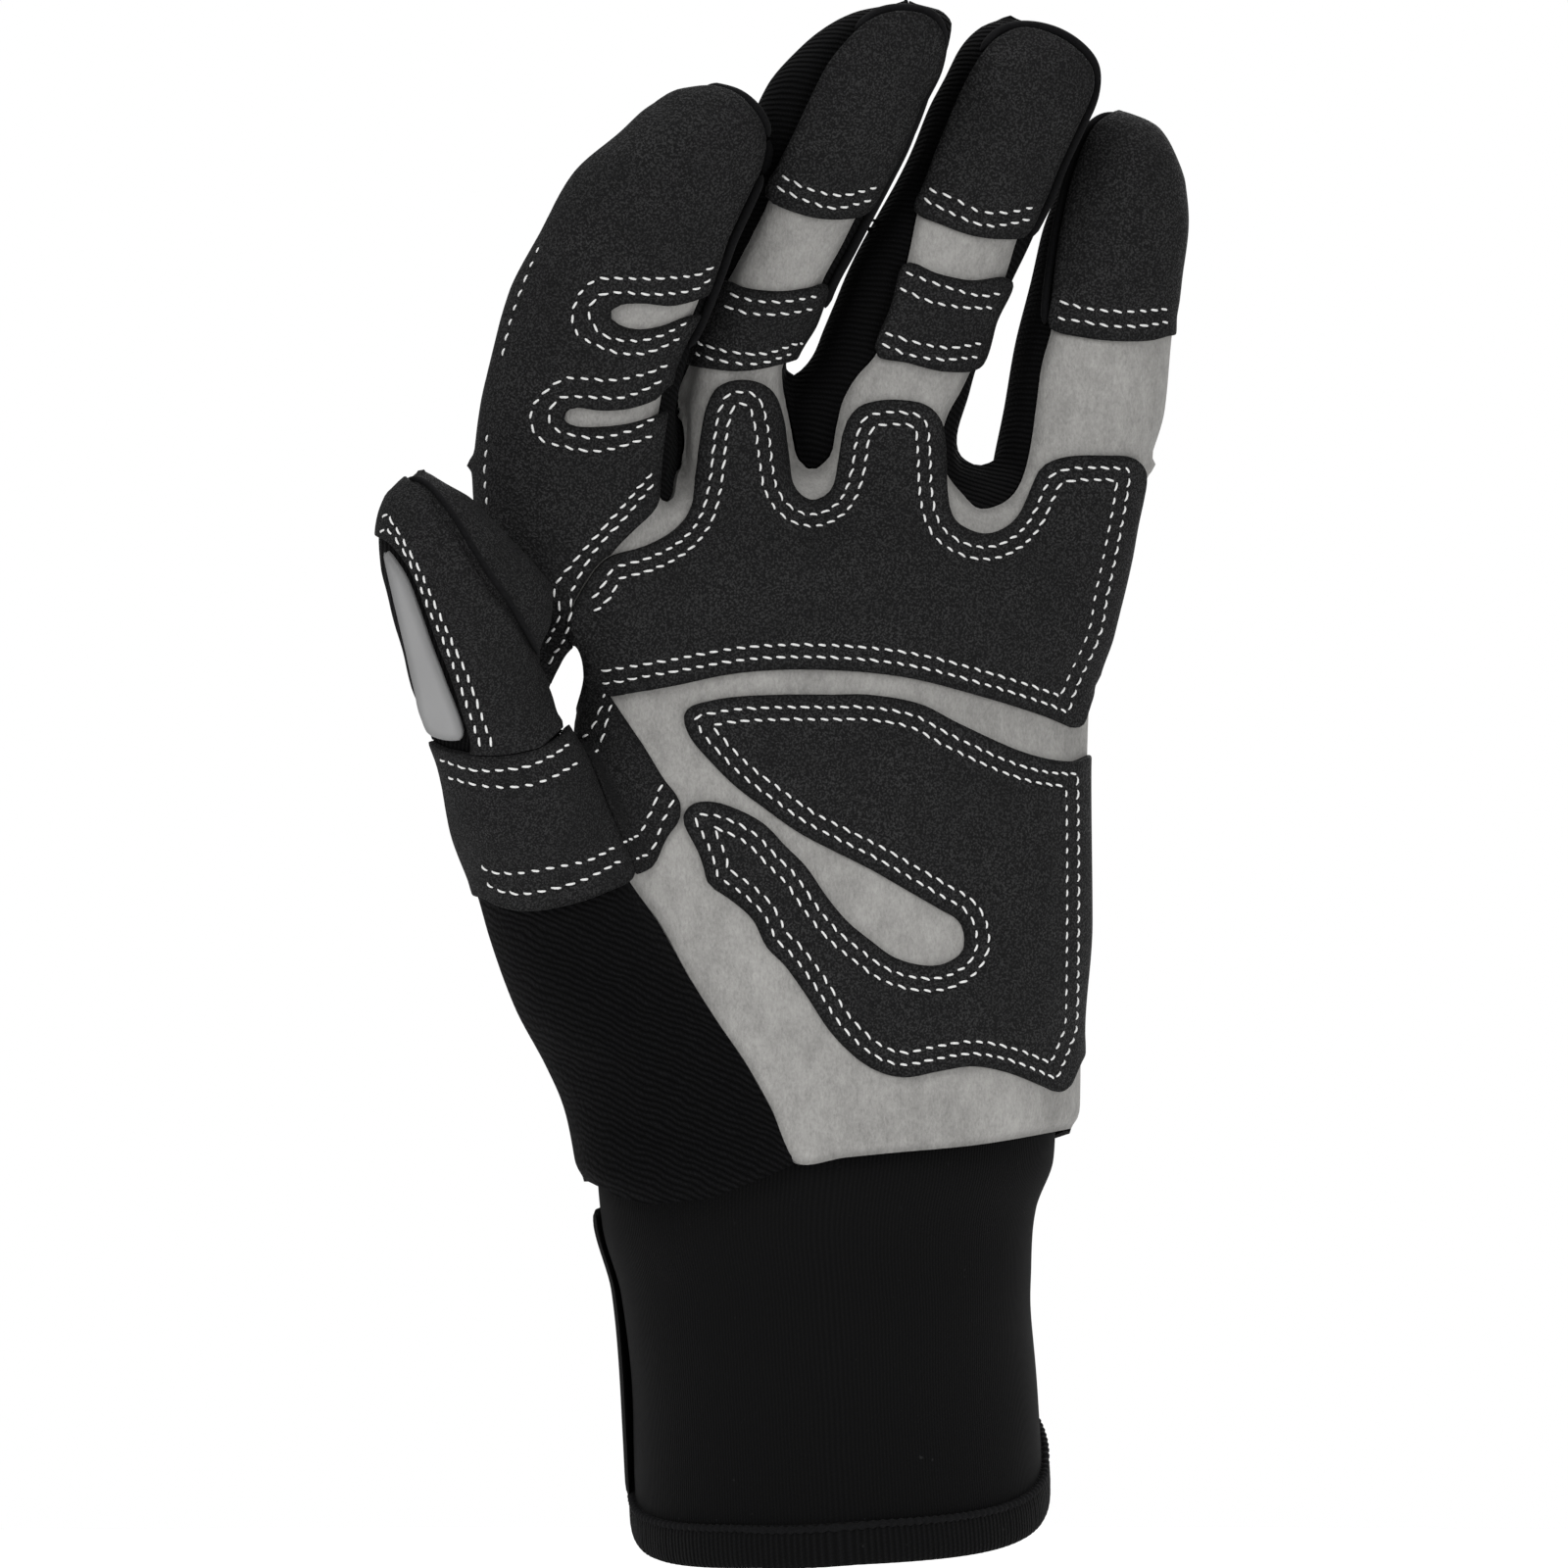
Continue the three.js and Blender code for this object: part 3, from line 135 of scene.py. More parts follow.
# Outlines of the panels and pads, as column, row pairs.
OUTLINES = {
  "hand_left": [[813, 1186], [788, 1131], [762, 1085], [735, 1045], [705, 995], [675, 939], [645, 896],
    [617, 821], [595, 768], [577, 741]],
  "hand_right": [[1200, 1140], [1089, 1156], [1000, 1169], [917, 1176], [864, 1181]],
  "heel_patch": [[698, 731], [707, 720], [743, 712], [796, 709], [850, 709], [886, 709], [937, 718],
    [975, 738], [1029, 763], [1064, 774], [1093, 777], [1117, 771], [1117, 1055], [1102, 1080],
    [1089, 1109], [1079, 1115], [1064, 1109], [1029, 1095], [993, 1088], [957, 1093], [921, 1099],
    [886, 1088], [850, 1056], [821, 1013], [800, 984], [782, 966], [768, 938], [743, 916], [723, 902],
    [718, 884], [711, 866], [702, 849], [697, 836], [704, 822], [725, 818], [750, 825], [779, 841],
    [800, 863], [821, 884], [843, 916], [864, 941], [886, 959], [911, 977], [939, 985], [961, 984],
    [979, 974], [984, 963], [979, 941], [957, 927], [921, 906], [886, 886], [850, 868], [814, 849],
    [779, 824], [750, 802], [725, 777], [704, 752]],
  "knuckle_patch": [[594, 604], [619, 571], [658, 558], [686, 543], [703, 523], [711, 490], [717, 441],
    [723, 413], [735, 394], [756, 388], [776, 392], [789, 406], [797, 437], [801, 470], [807, 498],
    [825, 513], [846, 504], [856, 478], [862, 441], [874, 417], [895, 409], [919, 408], [944, 413],
    [958, 429], [962, 462], [964, 502], [972, 531], [997, 545], [1017, 543], [1038, 527], [1054, 494],
    [1066, 474], [1091, 465], [1131, 464], [1156, 466], [1167, 480], [1165, 512], [1163, 540],
    [1158, 581], [1150, 614], [1144, 642], [1137, 666], [1125, 691], [1112, 712], [1103, 739],
    [1095, 743], [1066, 731], [1009, 713], [927, 692], [846, 684], [764, 686], [682, 700], [627, 709],
    [612, 708], [601, 695], [598, 676], [584, 655], [582, 630]],
  "index_patch": [[470, 80], [640, 80], [690, 96], [727, 94], [753, 104], [771, 124], [778, 143], [774, 170],
    [765, 191], [741, 243], [732, 270], [712, 323], [697, 352], [686, 381], [676, 440], [671, 492],
    [668, 518], [644, 544], [627, 562], [606, 592], [590, 620], [588, 655], [568, 693], [557, 705],
    [540, 710], [470, 640]],
  "slot_one": [[622, 323], [632, 313], [656, 311], [685, 313], [715, 304], [740, 292], [740, 312], [697, 326],
    [674, 335], [650, 338], [632, 333]],
  "slot_two": [[575, 427], [586, 417], [612, 420], [641, 418], [668, 408], [679, 395], [700, 388], [700, 407],
    [671, 424], [644, 433], [612, 437], [586, 436]],
  "middle_tip": [[783, 202], [795, 170], [809, 141], [844, 70], [874, 35], [897, 20], [927, 16],
    [950, 23], [960, 41], [956, 70], [938, 103], [921, 147], [903, 182], [881, 217], [844, 224], [809, 217]],
  "middle_band": [[738, 288], [762, 295], [797, 298], [826, 294], [843, 290], [830, 330], [816, 360],
    [797, 370], [762, 378], [729, 377], [700, 369], [714, 330]],
  "ring_tip": [[934, 216], [944, 188], [962, 141], [985, 88], [1006, 53], [1023, 38], [1044, 31], [1073, 38],
    [1097, 53], [1111, 70], [1111, 94], [1097, 126], [1079, 164], [1062, 205], [1044, 239], [1020, 243],
    [991, 240], [962, 230]],
  "ring_band": [[924, 268], [956, 279], [991, 286], [1030, 284], [1014, 325], [997, 373], [962, 378],
    [927, 370], [893, 361], [910, 310]],
  "little_tip": [[1073, 334], [1075, 305], [1082, 249], [1091, 205], [1103, 164], [1117, 132], [1133, 118],
    [1165, 100], [1240, 120], [1240, 338], [1195, 340], [1173, 346], [1138, 347], [1103, 343]],
  "saddle_top": [[420, 745], [442, 753], [463, 762], [507, 768], [548, 762], [571, 749]],
  "saddle_top_inner": [[572, 741], [584, 728], [594, 714], [598, 698], [598, 684], [612, 692],
      [631, 720], [655, 756], [677, 793], [694, 816]],
  "saddle_bottom": [[646, 896], [616, 912], [579, 924], [540, 929], [513, 924], [498, 916], [470, 905]],
  "saddle_bottom_inner": [[695, 836], [682, 855], [669, 883], [652, 893]],
  "thumb_seam": [[414, 478], [421, 495], [437, 505], [449, 527], [465, 548], [482, 576], [498, 601],
    [517, 624], [534, 653], [550, 683], [557, 701], [575, 739]],
  "thumb_insert": [[397, 560], [408, 573], [420, 592], [433, 626], [445, 661], [457, 693], [476, 752],
    [441, 747], [427, 700], [420, 668], [408, 617], [399, 577]],
  "thumb_patch_left": [[483, 754], [463, 691], [451, 659], [439, 624], [426, 589], [412, 566],
    [399, 552], [388, 548], [380, 520], [392, 490]],
}


HAND_LEFT = OUTLINES["hand_left"]
HAND_RIGHT = OUTLINES["hand_right"]
# Edge of the suede on the index finger, which stands in front of the middle one, and on all the rest.
INDEX_EDGE = HAND_LEFT + [
    [560, 735], [530, 720], [470, 660], [450, 400], [470, 80], [560, 80], [640, 80], [690, 96],
    [727, 94], [753, 104], [771, 124], [778, 143], [774, 170], [765, 191], [741, 243], [732, 270],
    [712, 323], [697, 352], [684, 386],
    [674, 440], [672, 485], [676, 504], [683, 512], [691, 503], [696, 480], [720, 470], [1240, 470],
        [1240, 1140]] + HAND_RIGHT
PALM_EDGE = HAND_LEFT + [
    [560, 735], [530, 720], [470, 660], [470, 560], [640, 510], [674, 504], [683, 513], [691, 500],
    [694, 480], [694, 436], [688, 402], [700, 369], [714, 330], [738, 288],
    [783, 202], [809, 141], [844, 70], [874, 35], [897, 20], [927, 16], [950, 23], [960, 41], [956, 70],
    [938, 103], [921, 147], [903, 182], [881, 217], [862, 255], [843, 290], [830, 330], [815, 362],
    [803, 374], [805, 407], [809, 442], [815, 466], [829, 477], [845, 465], [851, 436], [858, 407],
    [873, 383], [893, 361], [910, 310], [924, 268], [934, 216], [944, 188], [962, 141], [985, 88],
    [1006, 53], [1023, 38], [1044, 31], [1073, 38], [1097, 53], [1111, 70], [1111, 94], [1097, 126],
    [1079, 164], [1062, 205], [1044, 239], [1030, 284], [1014, 325], [998, 372], [985, 400], [971, 425],
    [963, 457], [969, 480], [987, 503], [1001, 516], [1024, 510], [1038, 496], [1047, 467], [1051, 444],
    [1056, 407], [1061, 370], [1071, 334], [1075, 305], [1082, 249], [1091, 205],
    [1103, 164], [1117, 132], [1133, 118], [1165, 100], [1240, 120], [1240, 1140]] + HAND_RIGHT
STRIPS = {
    "fourchette_index_middle": [
        [640, 60], [640, 520], [700, 540], [752, 470], [756, 400], [775, 300], [802, 200], [925, 17],
        [925, -40], [640, -40]],
    "fourchette_middle_ring": [
        [928, 17], [805, 200], [778, 300], [759, 400], [756, 500], [900, 540], [912, 400], [942, 300],
        [1044, 33], [1044, -40], [928, -40]],
    "fourchette_ring_little": [
        [1047, 33], [945, 300], [915, 400], [905, 540], [1100, 540], [1110, 300], [1150, 100], [1160, -40],
        [1047, -40]],
}
BACK_EDGE = [[380, -60], [1260, -60], [1260, 1150], [1100, 1156], [1060, 1170], [860, 1195], [700, 1210],
    [560, 1205], [380, 1100]]
KNIT_EDGE = HAND_LEFT[:-1] + [[573, 744], [380, 744], [380, 1160], [560, 1190], [600, 1208], [630, 1222],
                              [662, 1229], [728, 1222], [778, 1202]]
THUMB_SEAM = OUTLINES["thumb_seam"]
THUMB_INNER_EDGE = THUMB_SEAM + [[600, 742], [640, 700], [640, 478], [520, 440], [430, 450]]
THUMB_PAD_EDGE = OUTLINES["thumb_patch_left"][:-2] + [[376, 516], [384, 470]] + THUMB_SEAM[:-1] + [
    [572, 745], [560, 775], [520, 785], [486, 780]]
SEAM_LOWER = [[577, 741], [595, 768], [617, 821], [646, 894]]
SADDLE_OUTER = OUTLINES["saddle_top"] + SEAM_LOWER + OUTLINES["saddle_bottom"][1:]
SADDLE_INNER = OUTLINES["saddle_top_inner"] + OUTLINES["saddle_bottom_inner"] + SEAM_LOWER[:0:-1]
# Outlines as far as they are seen, which the stitch rows follow.
KNUCKLE_SEEN = [[500, 625]] + OUTLINES["knuckle_patch"][:34] + [
    [1158, 467], [1166, 482], [1163, 512], [1158, 540], [1150, 581], [1143, 614], [1138, 642], [1130, 666],
    [1119, 691], [1110, 712], [1102, 736], [1094, 742], [1066, 731], [1009, 713], [927, 692], [846, 684],
    [764, 686], [682, 700], [627, 709], [500, 722]]
HEEL_SEEN = OUTLINES["heel_patch"][:10] + [[1096, 777], [1112, 775], [1114, 850], [1114, 960],
    [1112, 1050]] + \
    OUTLINES["heel_patch"][13:]
INDEX_ROWS = [
    [[728, 285], [709, 298], [671, 303], [632, 301], [612, 305], [602, 320], [608, 336], [621, 346],
     [644, 350], [671, 346], [704, 330]],
    [[731, 273], [712, 283], [668, 287], [615, 287], [597, 297], [587, 316], [586, 333], [594, 346],
     [627, 361], [656, 363], [679, 355], [697, 345]],
    [[679, 389], [656, 401], [632, 408], [577, 407], [562, 421], [565, 437], [583, 445], [609, 448],
     [641, 442], [671, 427]],
    [[685, 373], [662, 383], [627, 390], [580, 388], [562, 398], [546, 415], [543, 433], [552, 449],
     [574, 457], [609, 462], [638, 456], [669, 445]],
    [[669, 482], [620, 536], [580, 582], [566, 603], [572, 625], [564, 646], [557, 660]],
    [[670, 493], [636, 532], [608, 563], [584, 605], [583, 623], [579, 645], [568, 671], [562, 681]],
    [[553, 250], [538, 284], [523, 325], [512, 368]], [[545, 252], [528, 290], [515, 328], [507, 360]],
    [[498, 440], [495, 480], [498, 520]],
]
FINGER_ROWS = [
    [[795, 180], [824, 194], [859, 201], [897, 192]], [[789, 191], [824, 207], [853, 214], [891, 205]],
    [[741, 300], [770, 308], [800, 309], [836, 303]], [[735, 312], [765, 321], [800, 322], [832, 316]],
    [[710, 350], [740, 359], [780, 362], [818, 350]], [[705, 360], [735, 369], [775, 372], [812, 360]],
    [[944, 192], [971, 202], [1000, 216], [1029, 217], [1057, 211]],
    [[940, 202], [971, 218], [1003, 230], [1029, 229], [1053, 223]],
    [[921, 277], [956, 290], [1000, 302], [1023, 299]], [[915, 293], [950, 308], [985, 314], [1015, 314]],
    [[900, 339], [932, 349], [968, 355], [1004, 350]], [[897, 350], [927, 362], [962, 367], [1000, 364]],
    [[1079, 306], [1111, 314], [1150, 317], [1194, 314]],
    [[1076, 323], [1103, 327], [1138, 332], [1170, 331], [1195, 327]],
]
THUMB_ROWS = [
    [[392, 533], [396, 527], [405, 538], [418, 560], [433, 587], [446, 617], [452, 630], [465, 659],
     [479, 690], [505, 764]],
    [[390, 546], [396, 541], [410, 557], [424, 582], [436, 611], [442, 627], [455, 655], [467, 686],
     [493, 764]],
    [[450, 775], [486, 786], [536, 783], [565, 771], [583, 758]], [[592, 756], [606, 739], [618, 704]],
    [[457, 793], [495, 802], [536, 802], [565, 793], [592, 777]], [[599, 774], [612, 762], [624, 715]],
    [[489, 882], [501, 890], [530, 891], [565, 885], [603, 877], [630, 863]],
    [[636, 860], [653, 850], [665, 827], [677, 797]],
    [[495, 900], [512, 909], [542, 911], [595, 898], [636, 877]], [[648, 877], [665, 868], [677, 838],
     [689, 813]],
]
# Rolled edges of the black cloth: round the four fingertips, down their sides, and on the thumb.
ROLLED_EDGES = [
    [[612, 165], [640, 126], [668, 104], [700, 94], [733, 92], [760, 102], [778, 122], [785, 145], [781, 172],
     [771, 198], [748, 248], [738, 276], [718, 328], [703, 356]],
    [[872, 32], [896, 14], [926, 10], [952, 17], [962, 36], [957, 72], [940, 107], [924, 150], [906, 186],
     [887, 222], [868, 258], [849, 294], [835, 334]],
    [[1000, 52], [1020, 31], [1045, 25], [1077, 31], [1103, 47], [1118, 68], [1117, 97], [1103, 130],
     [1086, 167], [1069, 208], [1051, 242]],
    [[1066, 330], [1068, 300], [1075, 248], [1084, 202], [1096, 160], [1110, 130], [1130, 116], [1156, 122],
     [1180, 140]],
    [[419, 490], [430, 491], [441, 498], [454, 513], [468, 532], [485, 560], [502, 586], [520, 610],
     [537, 640], [553, 672], [562, 696]],
]
ROLLED_RADII = (0.85, 0.8, 0.8, 0.75, 0.6)

# Column, depth and row of two corners of the box that the hand's net fills, and the row of its lower end.
NET_FROM = (373, -89.0, 1338)
NET_TO = (1230, 20.0, -15)
WRIST_ROW = 1262
# Half the gap left at a seam, on the hand and on the thumb, and the width over which the suede's edges mix.
SEAM_GAP, THUMB_SEAM_GAP = 0.15, 0.1
EDGE_MIX = 0.5
# Distance from the side seam over which a pad reaches its full thickness.
SIDE_EASE = 9.0
# A pad's rounded edge, the trough of its stitch rows, and where its foam starts to lift and over what width.
PAD_EDGE = 0.45
TROUGH_DEPTH, TROUGH_MIDDLE, TROUGH_HALF = 0.22, 3.25, 1.5
SWELL_START, SWELL_EASE = 5.2, 5
# Depths between which the body is looked for, and the first step.
NEAREST, FARTHEST, FIRST_STEP = -86, 12, 1.2
# A rolled edge is broken at a jump in depth and at a gap longer than these.
ROLLED_JUMP, ROLLED_GAP = 2.5, 8
# A rolled edge's middle and a stitch's sink, both measured from the cloth under them.
ROLLED_HEIGHT = 0.2
STITCH_SINK = 0.04
# Distance between the points of a drawn line, and millimetres of cloth per radian round the cuff.
LINE_STEP = 0.45
CUFF_RADIUS = 34
# The hem's middle and half height in rows, and its overlock's row, counted up and out from the last ring.
HEM_MIDDLE, HEM_HALF, OVERLOCK_ROW = 16, 21, 34.0
# Points along each side of the wrist tab.
TAB_SIDE = 60
# The stage, in metres: camera, photo side in pixels, what the lamps aim at, and the floor.
CAMERA_DISTANCE = 6.0
SENSOR_WIDTH = 36
PHOTO_SIDE = 1600
CAMERA_DEPTH = -0.035
LAMP_AIM = (-0.01, -0.03, 0.12)
FLOOR_RADIUS, FLOOR_HEIGHT, FLOOR_GLOW = 0.42, -0.0172, 0.28
WORLD_LIGHT = 0.42
# Lamps: name, place, width and power.
LAMPS = (
    ("key_lamp", (-0.9, -1.6, 1.3), 1.2, 19.0),
    ("fill_lamp", (1.3, -1.5, 0.4), 1.4, 8.5),
    ("top_lamp", (0.0, 0.4, 1.6), 1.2, 9.0),
    ("back_lamp", (0.7, 1.7, 0.9), 1.6, 14.0),
)
DIGITS = ("index", "middle", "ring", "little", "thumb")
# Bulge of the web under the index finger: column, row, depth, then half sizes in columns, rows and depth.
WEB_BULGE = (552, 640, -42, 36, 62, 9)
# Cloth that bridges the forks of the middle finger, in the same form.
FORK_BULGES = ((828, 436, -26, 36, 60, 7), (684, 462, -37, 13, 56, 6))
# Hole between the thumb, the index finger's base and the palm: column, row, half width and height, lean.
THUMB_GAP = (581, 697, 21, 44, -0.15)

# Cuff rings from the wrist down. Each line: row, left, right, depth of the middle, half thickness, slope.
CUFF_RINGS = [
    [1150, 616, 1078, -25.8, 19.8, 0], [1186, 610, 1075, -25.4, 21.4, 0.02],
    [1236, 616, 1060, -21.5, 23, 0.12], [1290, 634, 1053, -16.5, 23.8, 0.26],
    [1350, 641, 1055, -11.5, 24, 0.4], [1420, 645, 1059, -6, 24.2, 0.5],
    [1479, 648, 1064, -2, 24.4, 0.56], [1511, 650, 1067, 0, 24.5, 0.575],
]


# Surfaces

def curve(keys, values, at):
    """Monotone cubic through table rows; the slope at a row is the harmonic mean of the steps beside it."""
    keys, values = np.asarray(keys, float), np.asarray(values, float)
    step = np.diff(values) / np.diff(keys)
    slope = np.concatenate([step[:1], np.zeros(len(step) - 1), step[-1:]])
    same = step[:-1] * step[1:] > 0
    slope[1:-1][same] = (2 * step[:-1] * step[1:])[same] / (step[:-1] + step[1:])[same]
    t = np.clip(at, keys[0], keys[-1])
    i = np.clip(np.searchsorted(keys, t, side="right") - 1, 0, len(keys) - 2)
    h = keys[i + 1] - keys[i]
    s = (t - keys[i]) / h
    a = 2 * s**3 - 3 * s**2 + 1
    rise = (s**3 - 2 * s**2 + s) * h * slope[i] + (s**3 - s**2) * h * slope[i + 1]
    return a * values[i] + (1 - a) * values[i + 1] + rise


def section(name, z):
    """Centre, half width, half depth, depth of the middle and distance past the end, at a height."""
    rows = np.array(SECTIONS[name]["rows"], float)
    row = HEM_ROW - np.asarray(z) * ROWS_LONG / GLOVE_LENGTH
    left, right, middle, half = (curve(rows[:, 0], rows[:, i], row) for i in (1, 2, 3, 4))
    over = np.maximum(np.maximum(rows[0, 0] - row, row - rows[-1, 0]), 0)
    wide = (right - left) / 2 * GLOVE_WIDTH / COLUMNS_WIDE
    return across((left + right) / 2), wide, half, middle, over * PIXEL


def limb_middle(name, x, z):
    """Depth of a limb's middle surface: its table depth plus its lean times the distance from its centre."""
    centre, _, _, middle, _ = section(name, z)
    return middle + SECTIONS[name]["lean"] * (x - centre)


def limb(name, x, y, z):
    """One minus the radius in a squared ellipse, times the smaller half axis, less the distance past the
    limb's end: positive inside."""
    centre, wide, deep, middle, past = section(name, z)
    power = SECTIONS[name]["power"]
    u = np.abs(x - centre) / wide
    v = np.abs(y - middle - SECTIONS[name]["lean"] * (x - centre)) / deep
    return (1 - (u**power + v**power) ** (1 / power)) * np.minimum(wide, deep) - past


def rounded(a, b, size):
    """Larger of two fields, raised by a parabola where they are closer than the rounding size."""
    h = np.maximum(size - np.abs(a - b), 0) / size
    return np.maximum(a, b) + h * h * size / 4


def digit(name, x, y, z):
    """One digit's field; the index has the web's ellipsoid rounded into it."""
    value = limb(name, x, y, z)
    return rounded(value, bulge(WEB_BULGE, x, y, z), ROOT_BLEND) if name == "index" else value


def bulge(sizes, x, y, z):
    """One minus the radius in an ellipsoid, times its thickness."""
    column, row, depth, wide, tall, thick = sizes
    u = (x - across(column)) / (wide * GLOVE_WIDTH / COLUMNS_WIDE)
    v = (z - upward(row)) / (tall * PIXEL)
    w = (y - depth) / thick
    return (1 - np.sqrt(u * u + v * v + w * w)) * thick


# Creases in the cloth: column, row, half length and half width in millimetres, tilt in degrees, height.
CREASES = (
    (665, 752, 15, 3.2, -48, -1.1), (640, 715, 12, 2.6, -50, 0.8), (735, 885, 14, 2.8, -42, -0.8),
    (720, 918, 12, 2.4, -45, 0.6), (790, 1062, 12, 4, -38, 0.7), (1000, 735, 18, 2.6, -14, -0.6),
    (745, 460, 10, 3, 84, -0.5), (900, 470, 9, 3, 86, -0.5), (820, 590, 26, 6, -6, 0.8),
    (985, 620, 24, 6, -12, 0.7), (640, 600, 11, 3, -40, -0.6), (1090, 600, 6, 20, 6, -0.5),
    (785, 330, 9, 2, -4, -0.5), (960, 330, 8, 2, -6, -0.5), (760, 390, 9, 2, 0, -0.6),
    (945, 385, 8, 2, -4, -0.5), (600, 620, 8, 3, -60, -0.9), (540, 610, 9, 3.4, -66, -0.7),
    (690, 1000, 16, 3, -60, 0.5), (600, 980, 14, 3.4, -30, -0.6), (590, 1090, 15, 3.2, -24, -0.6),
    (660, 1150, 14, 3, -18, -0.7), (740, 1190, 14, 3, -14, 0.6), (525, 880, 9, 3, -12, -0.5),
    (560, 840, 10, 4, 74, 0.5), (880, 1150, 26, 3, 2, -0.5), (1130, 395, 10, 3, -4, -0.4),
    (1120, 440, 12, 3, 4, 0.4), (590, 480, 16, 3.5, -8, -0.5), (600, 380, 14, 3.6, -6, -0.4),
    (500, 620, 7, 4, 60, -0.5), (470, 600, 4, 16, 20, 0.4),
)


def creased(x, z):
    """Sum of long low ridges, each a product of two bell curves along and across its own tilted axis."""
    height = np.zeros(np.broadcast(x, z).shape)
    for column, row, long, wide, tilt, rise in CREASES:
        a = math.radians(tilt)
        dx, dz = x - across(column), z - upward(row)
        u = (dx * math.cos(a) + dz * math.sin(a)) / long
        v = (-dx * math.sin(a) + dz * math.cos(a)) / wide
        height = height + rise * np.exp(-(u * u) - v * v)
    return height


def hand(x, y, z):
    """The digits kept apart by a parting, each rounded into the palm."""
    fields = np.sort(np.stack([digit(name, x, y, z) for name in DIGITS]), axis=0)
    first, second = fields[-1], fields[-2]
    palm = limb("palm", x, y, z)
    for sizes in FORK_BULGES:
        palm = rounded(palm, bulge(sizes, x, y, z), ROOT_BLEND)
    whole = rounded(np.minimum(first, (first - second - PARTING) / 2), palm, ROOT_BLEND)
    column, row, wide, tall, lean = THUMB_GAP
    v = (upward(row) - z) / PIXEL
    u = x * COLUMNS_WIDE / GLOVE_WIDTH + MIDDLE_COLUMN - column - lean * v
    gap = (np.abs(u / wide) ** 1.7 + np.abs(v / tall) ** 1.7) ** (1 / 1.7) - 1
    return np.minimum(whole, gap * wide * PIXEL)


def palm_side(x, y, z):
    """Positive in front of the seam round the hand: the limbs' middles, each weighted by the exponential of
    its own field, moved back a little, less the depth."""
    total, weight = 0, 0
    for name in ("palm", *DIGITS):
        w = np.exp(np.clip(limb(name, x, y, z), -60, 6) / SEAM_EASE)
        total = total + w * limb_middle(name, x, z)
        weight = weight + w
    return total / weight + SEAM_BEHIND - y


def thumb_side(x, y, z):
    """Positive on the thumb's free tube."""
    rest = [digit(name, x, y, z) for name in DIGITS[:4]] + [limb("palm", x, y, z)]
    root = upward(curve(THUMB_ROOT[0], THUMB_ROOT[1], x * COLUMNS_WIDE / GLOVE_WIDTH + MIDDLE_COLUMN))
    return np.minimum(limb("thumb", x, y, z) - np.max(rest, axis=0), z - root)


def index_side(x, y, z):
    """Positive on the index finger rather than the other ones."""
    return digit("index", x, y, z) - np.max([limb(name, x, y, z) for name in DIGITS[1:4]], axis=0)


def unit(vectors):
    """The same directions, one long."""
    return vectors / (np.linalg.norm(vectors, axis=1)[:, None] + 1e-9)


def facing(normals):
    """How far a surface faces the palm side, by which the creases are pressed in."""
    return np.clip(-normals[:, 1] * 1.6, -0.6, 1)


def gradient(field, p, step=0.3):
    """Central differences of a field along the three axes."""
    columns = []
    for axis in range(3):
        move = np.zeros(3)
        move[axis] = step
        columns.append((field(*(p + move).T) - field(*(p - move).T)) / (2 * step))
    return np.stack(columns, axis=1)


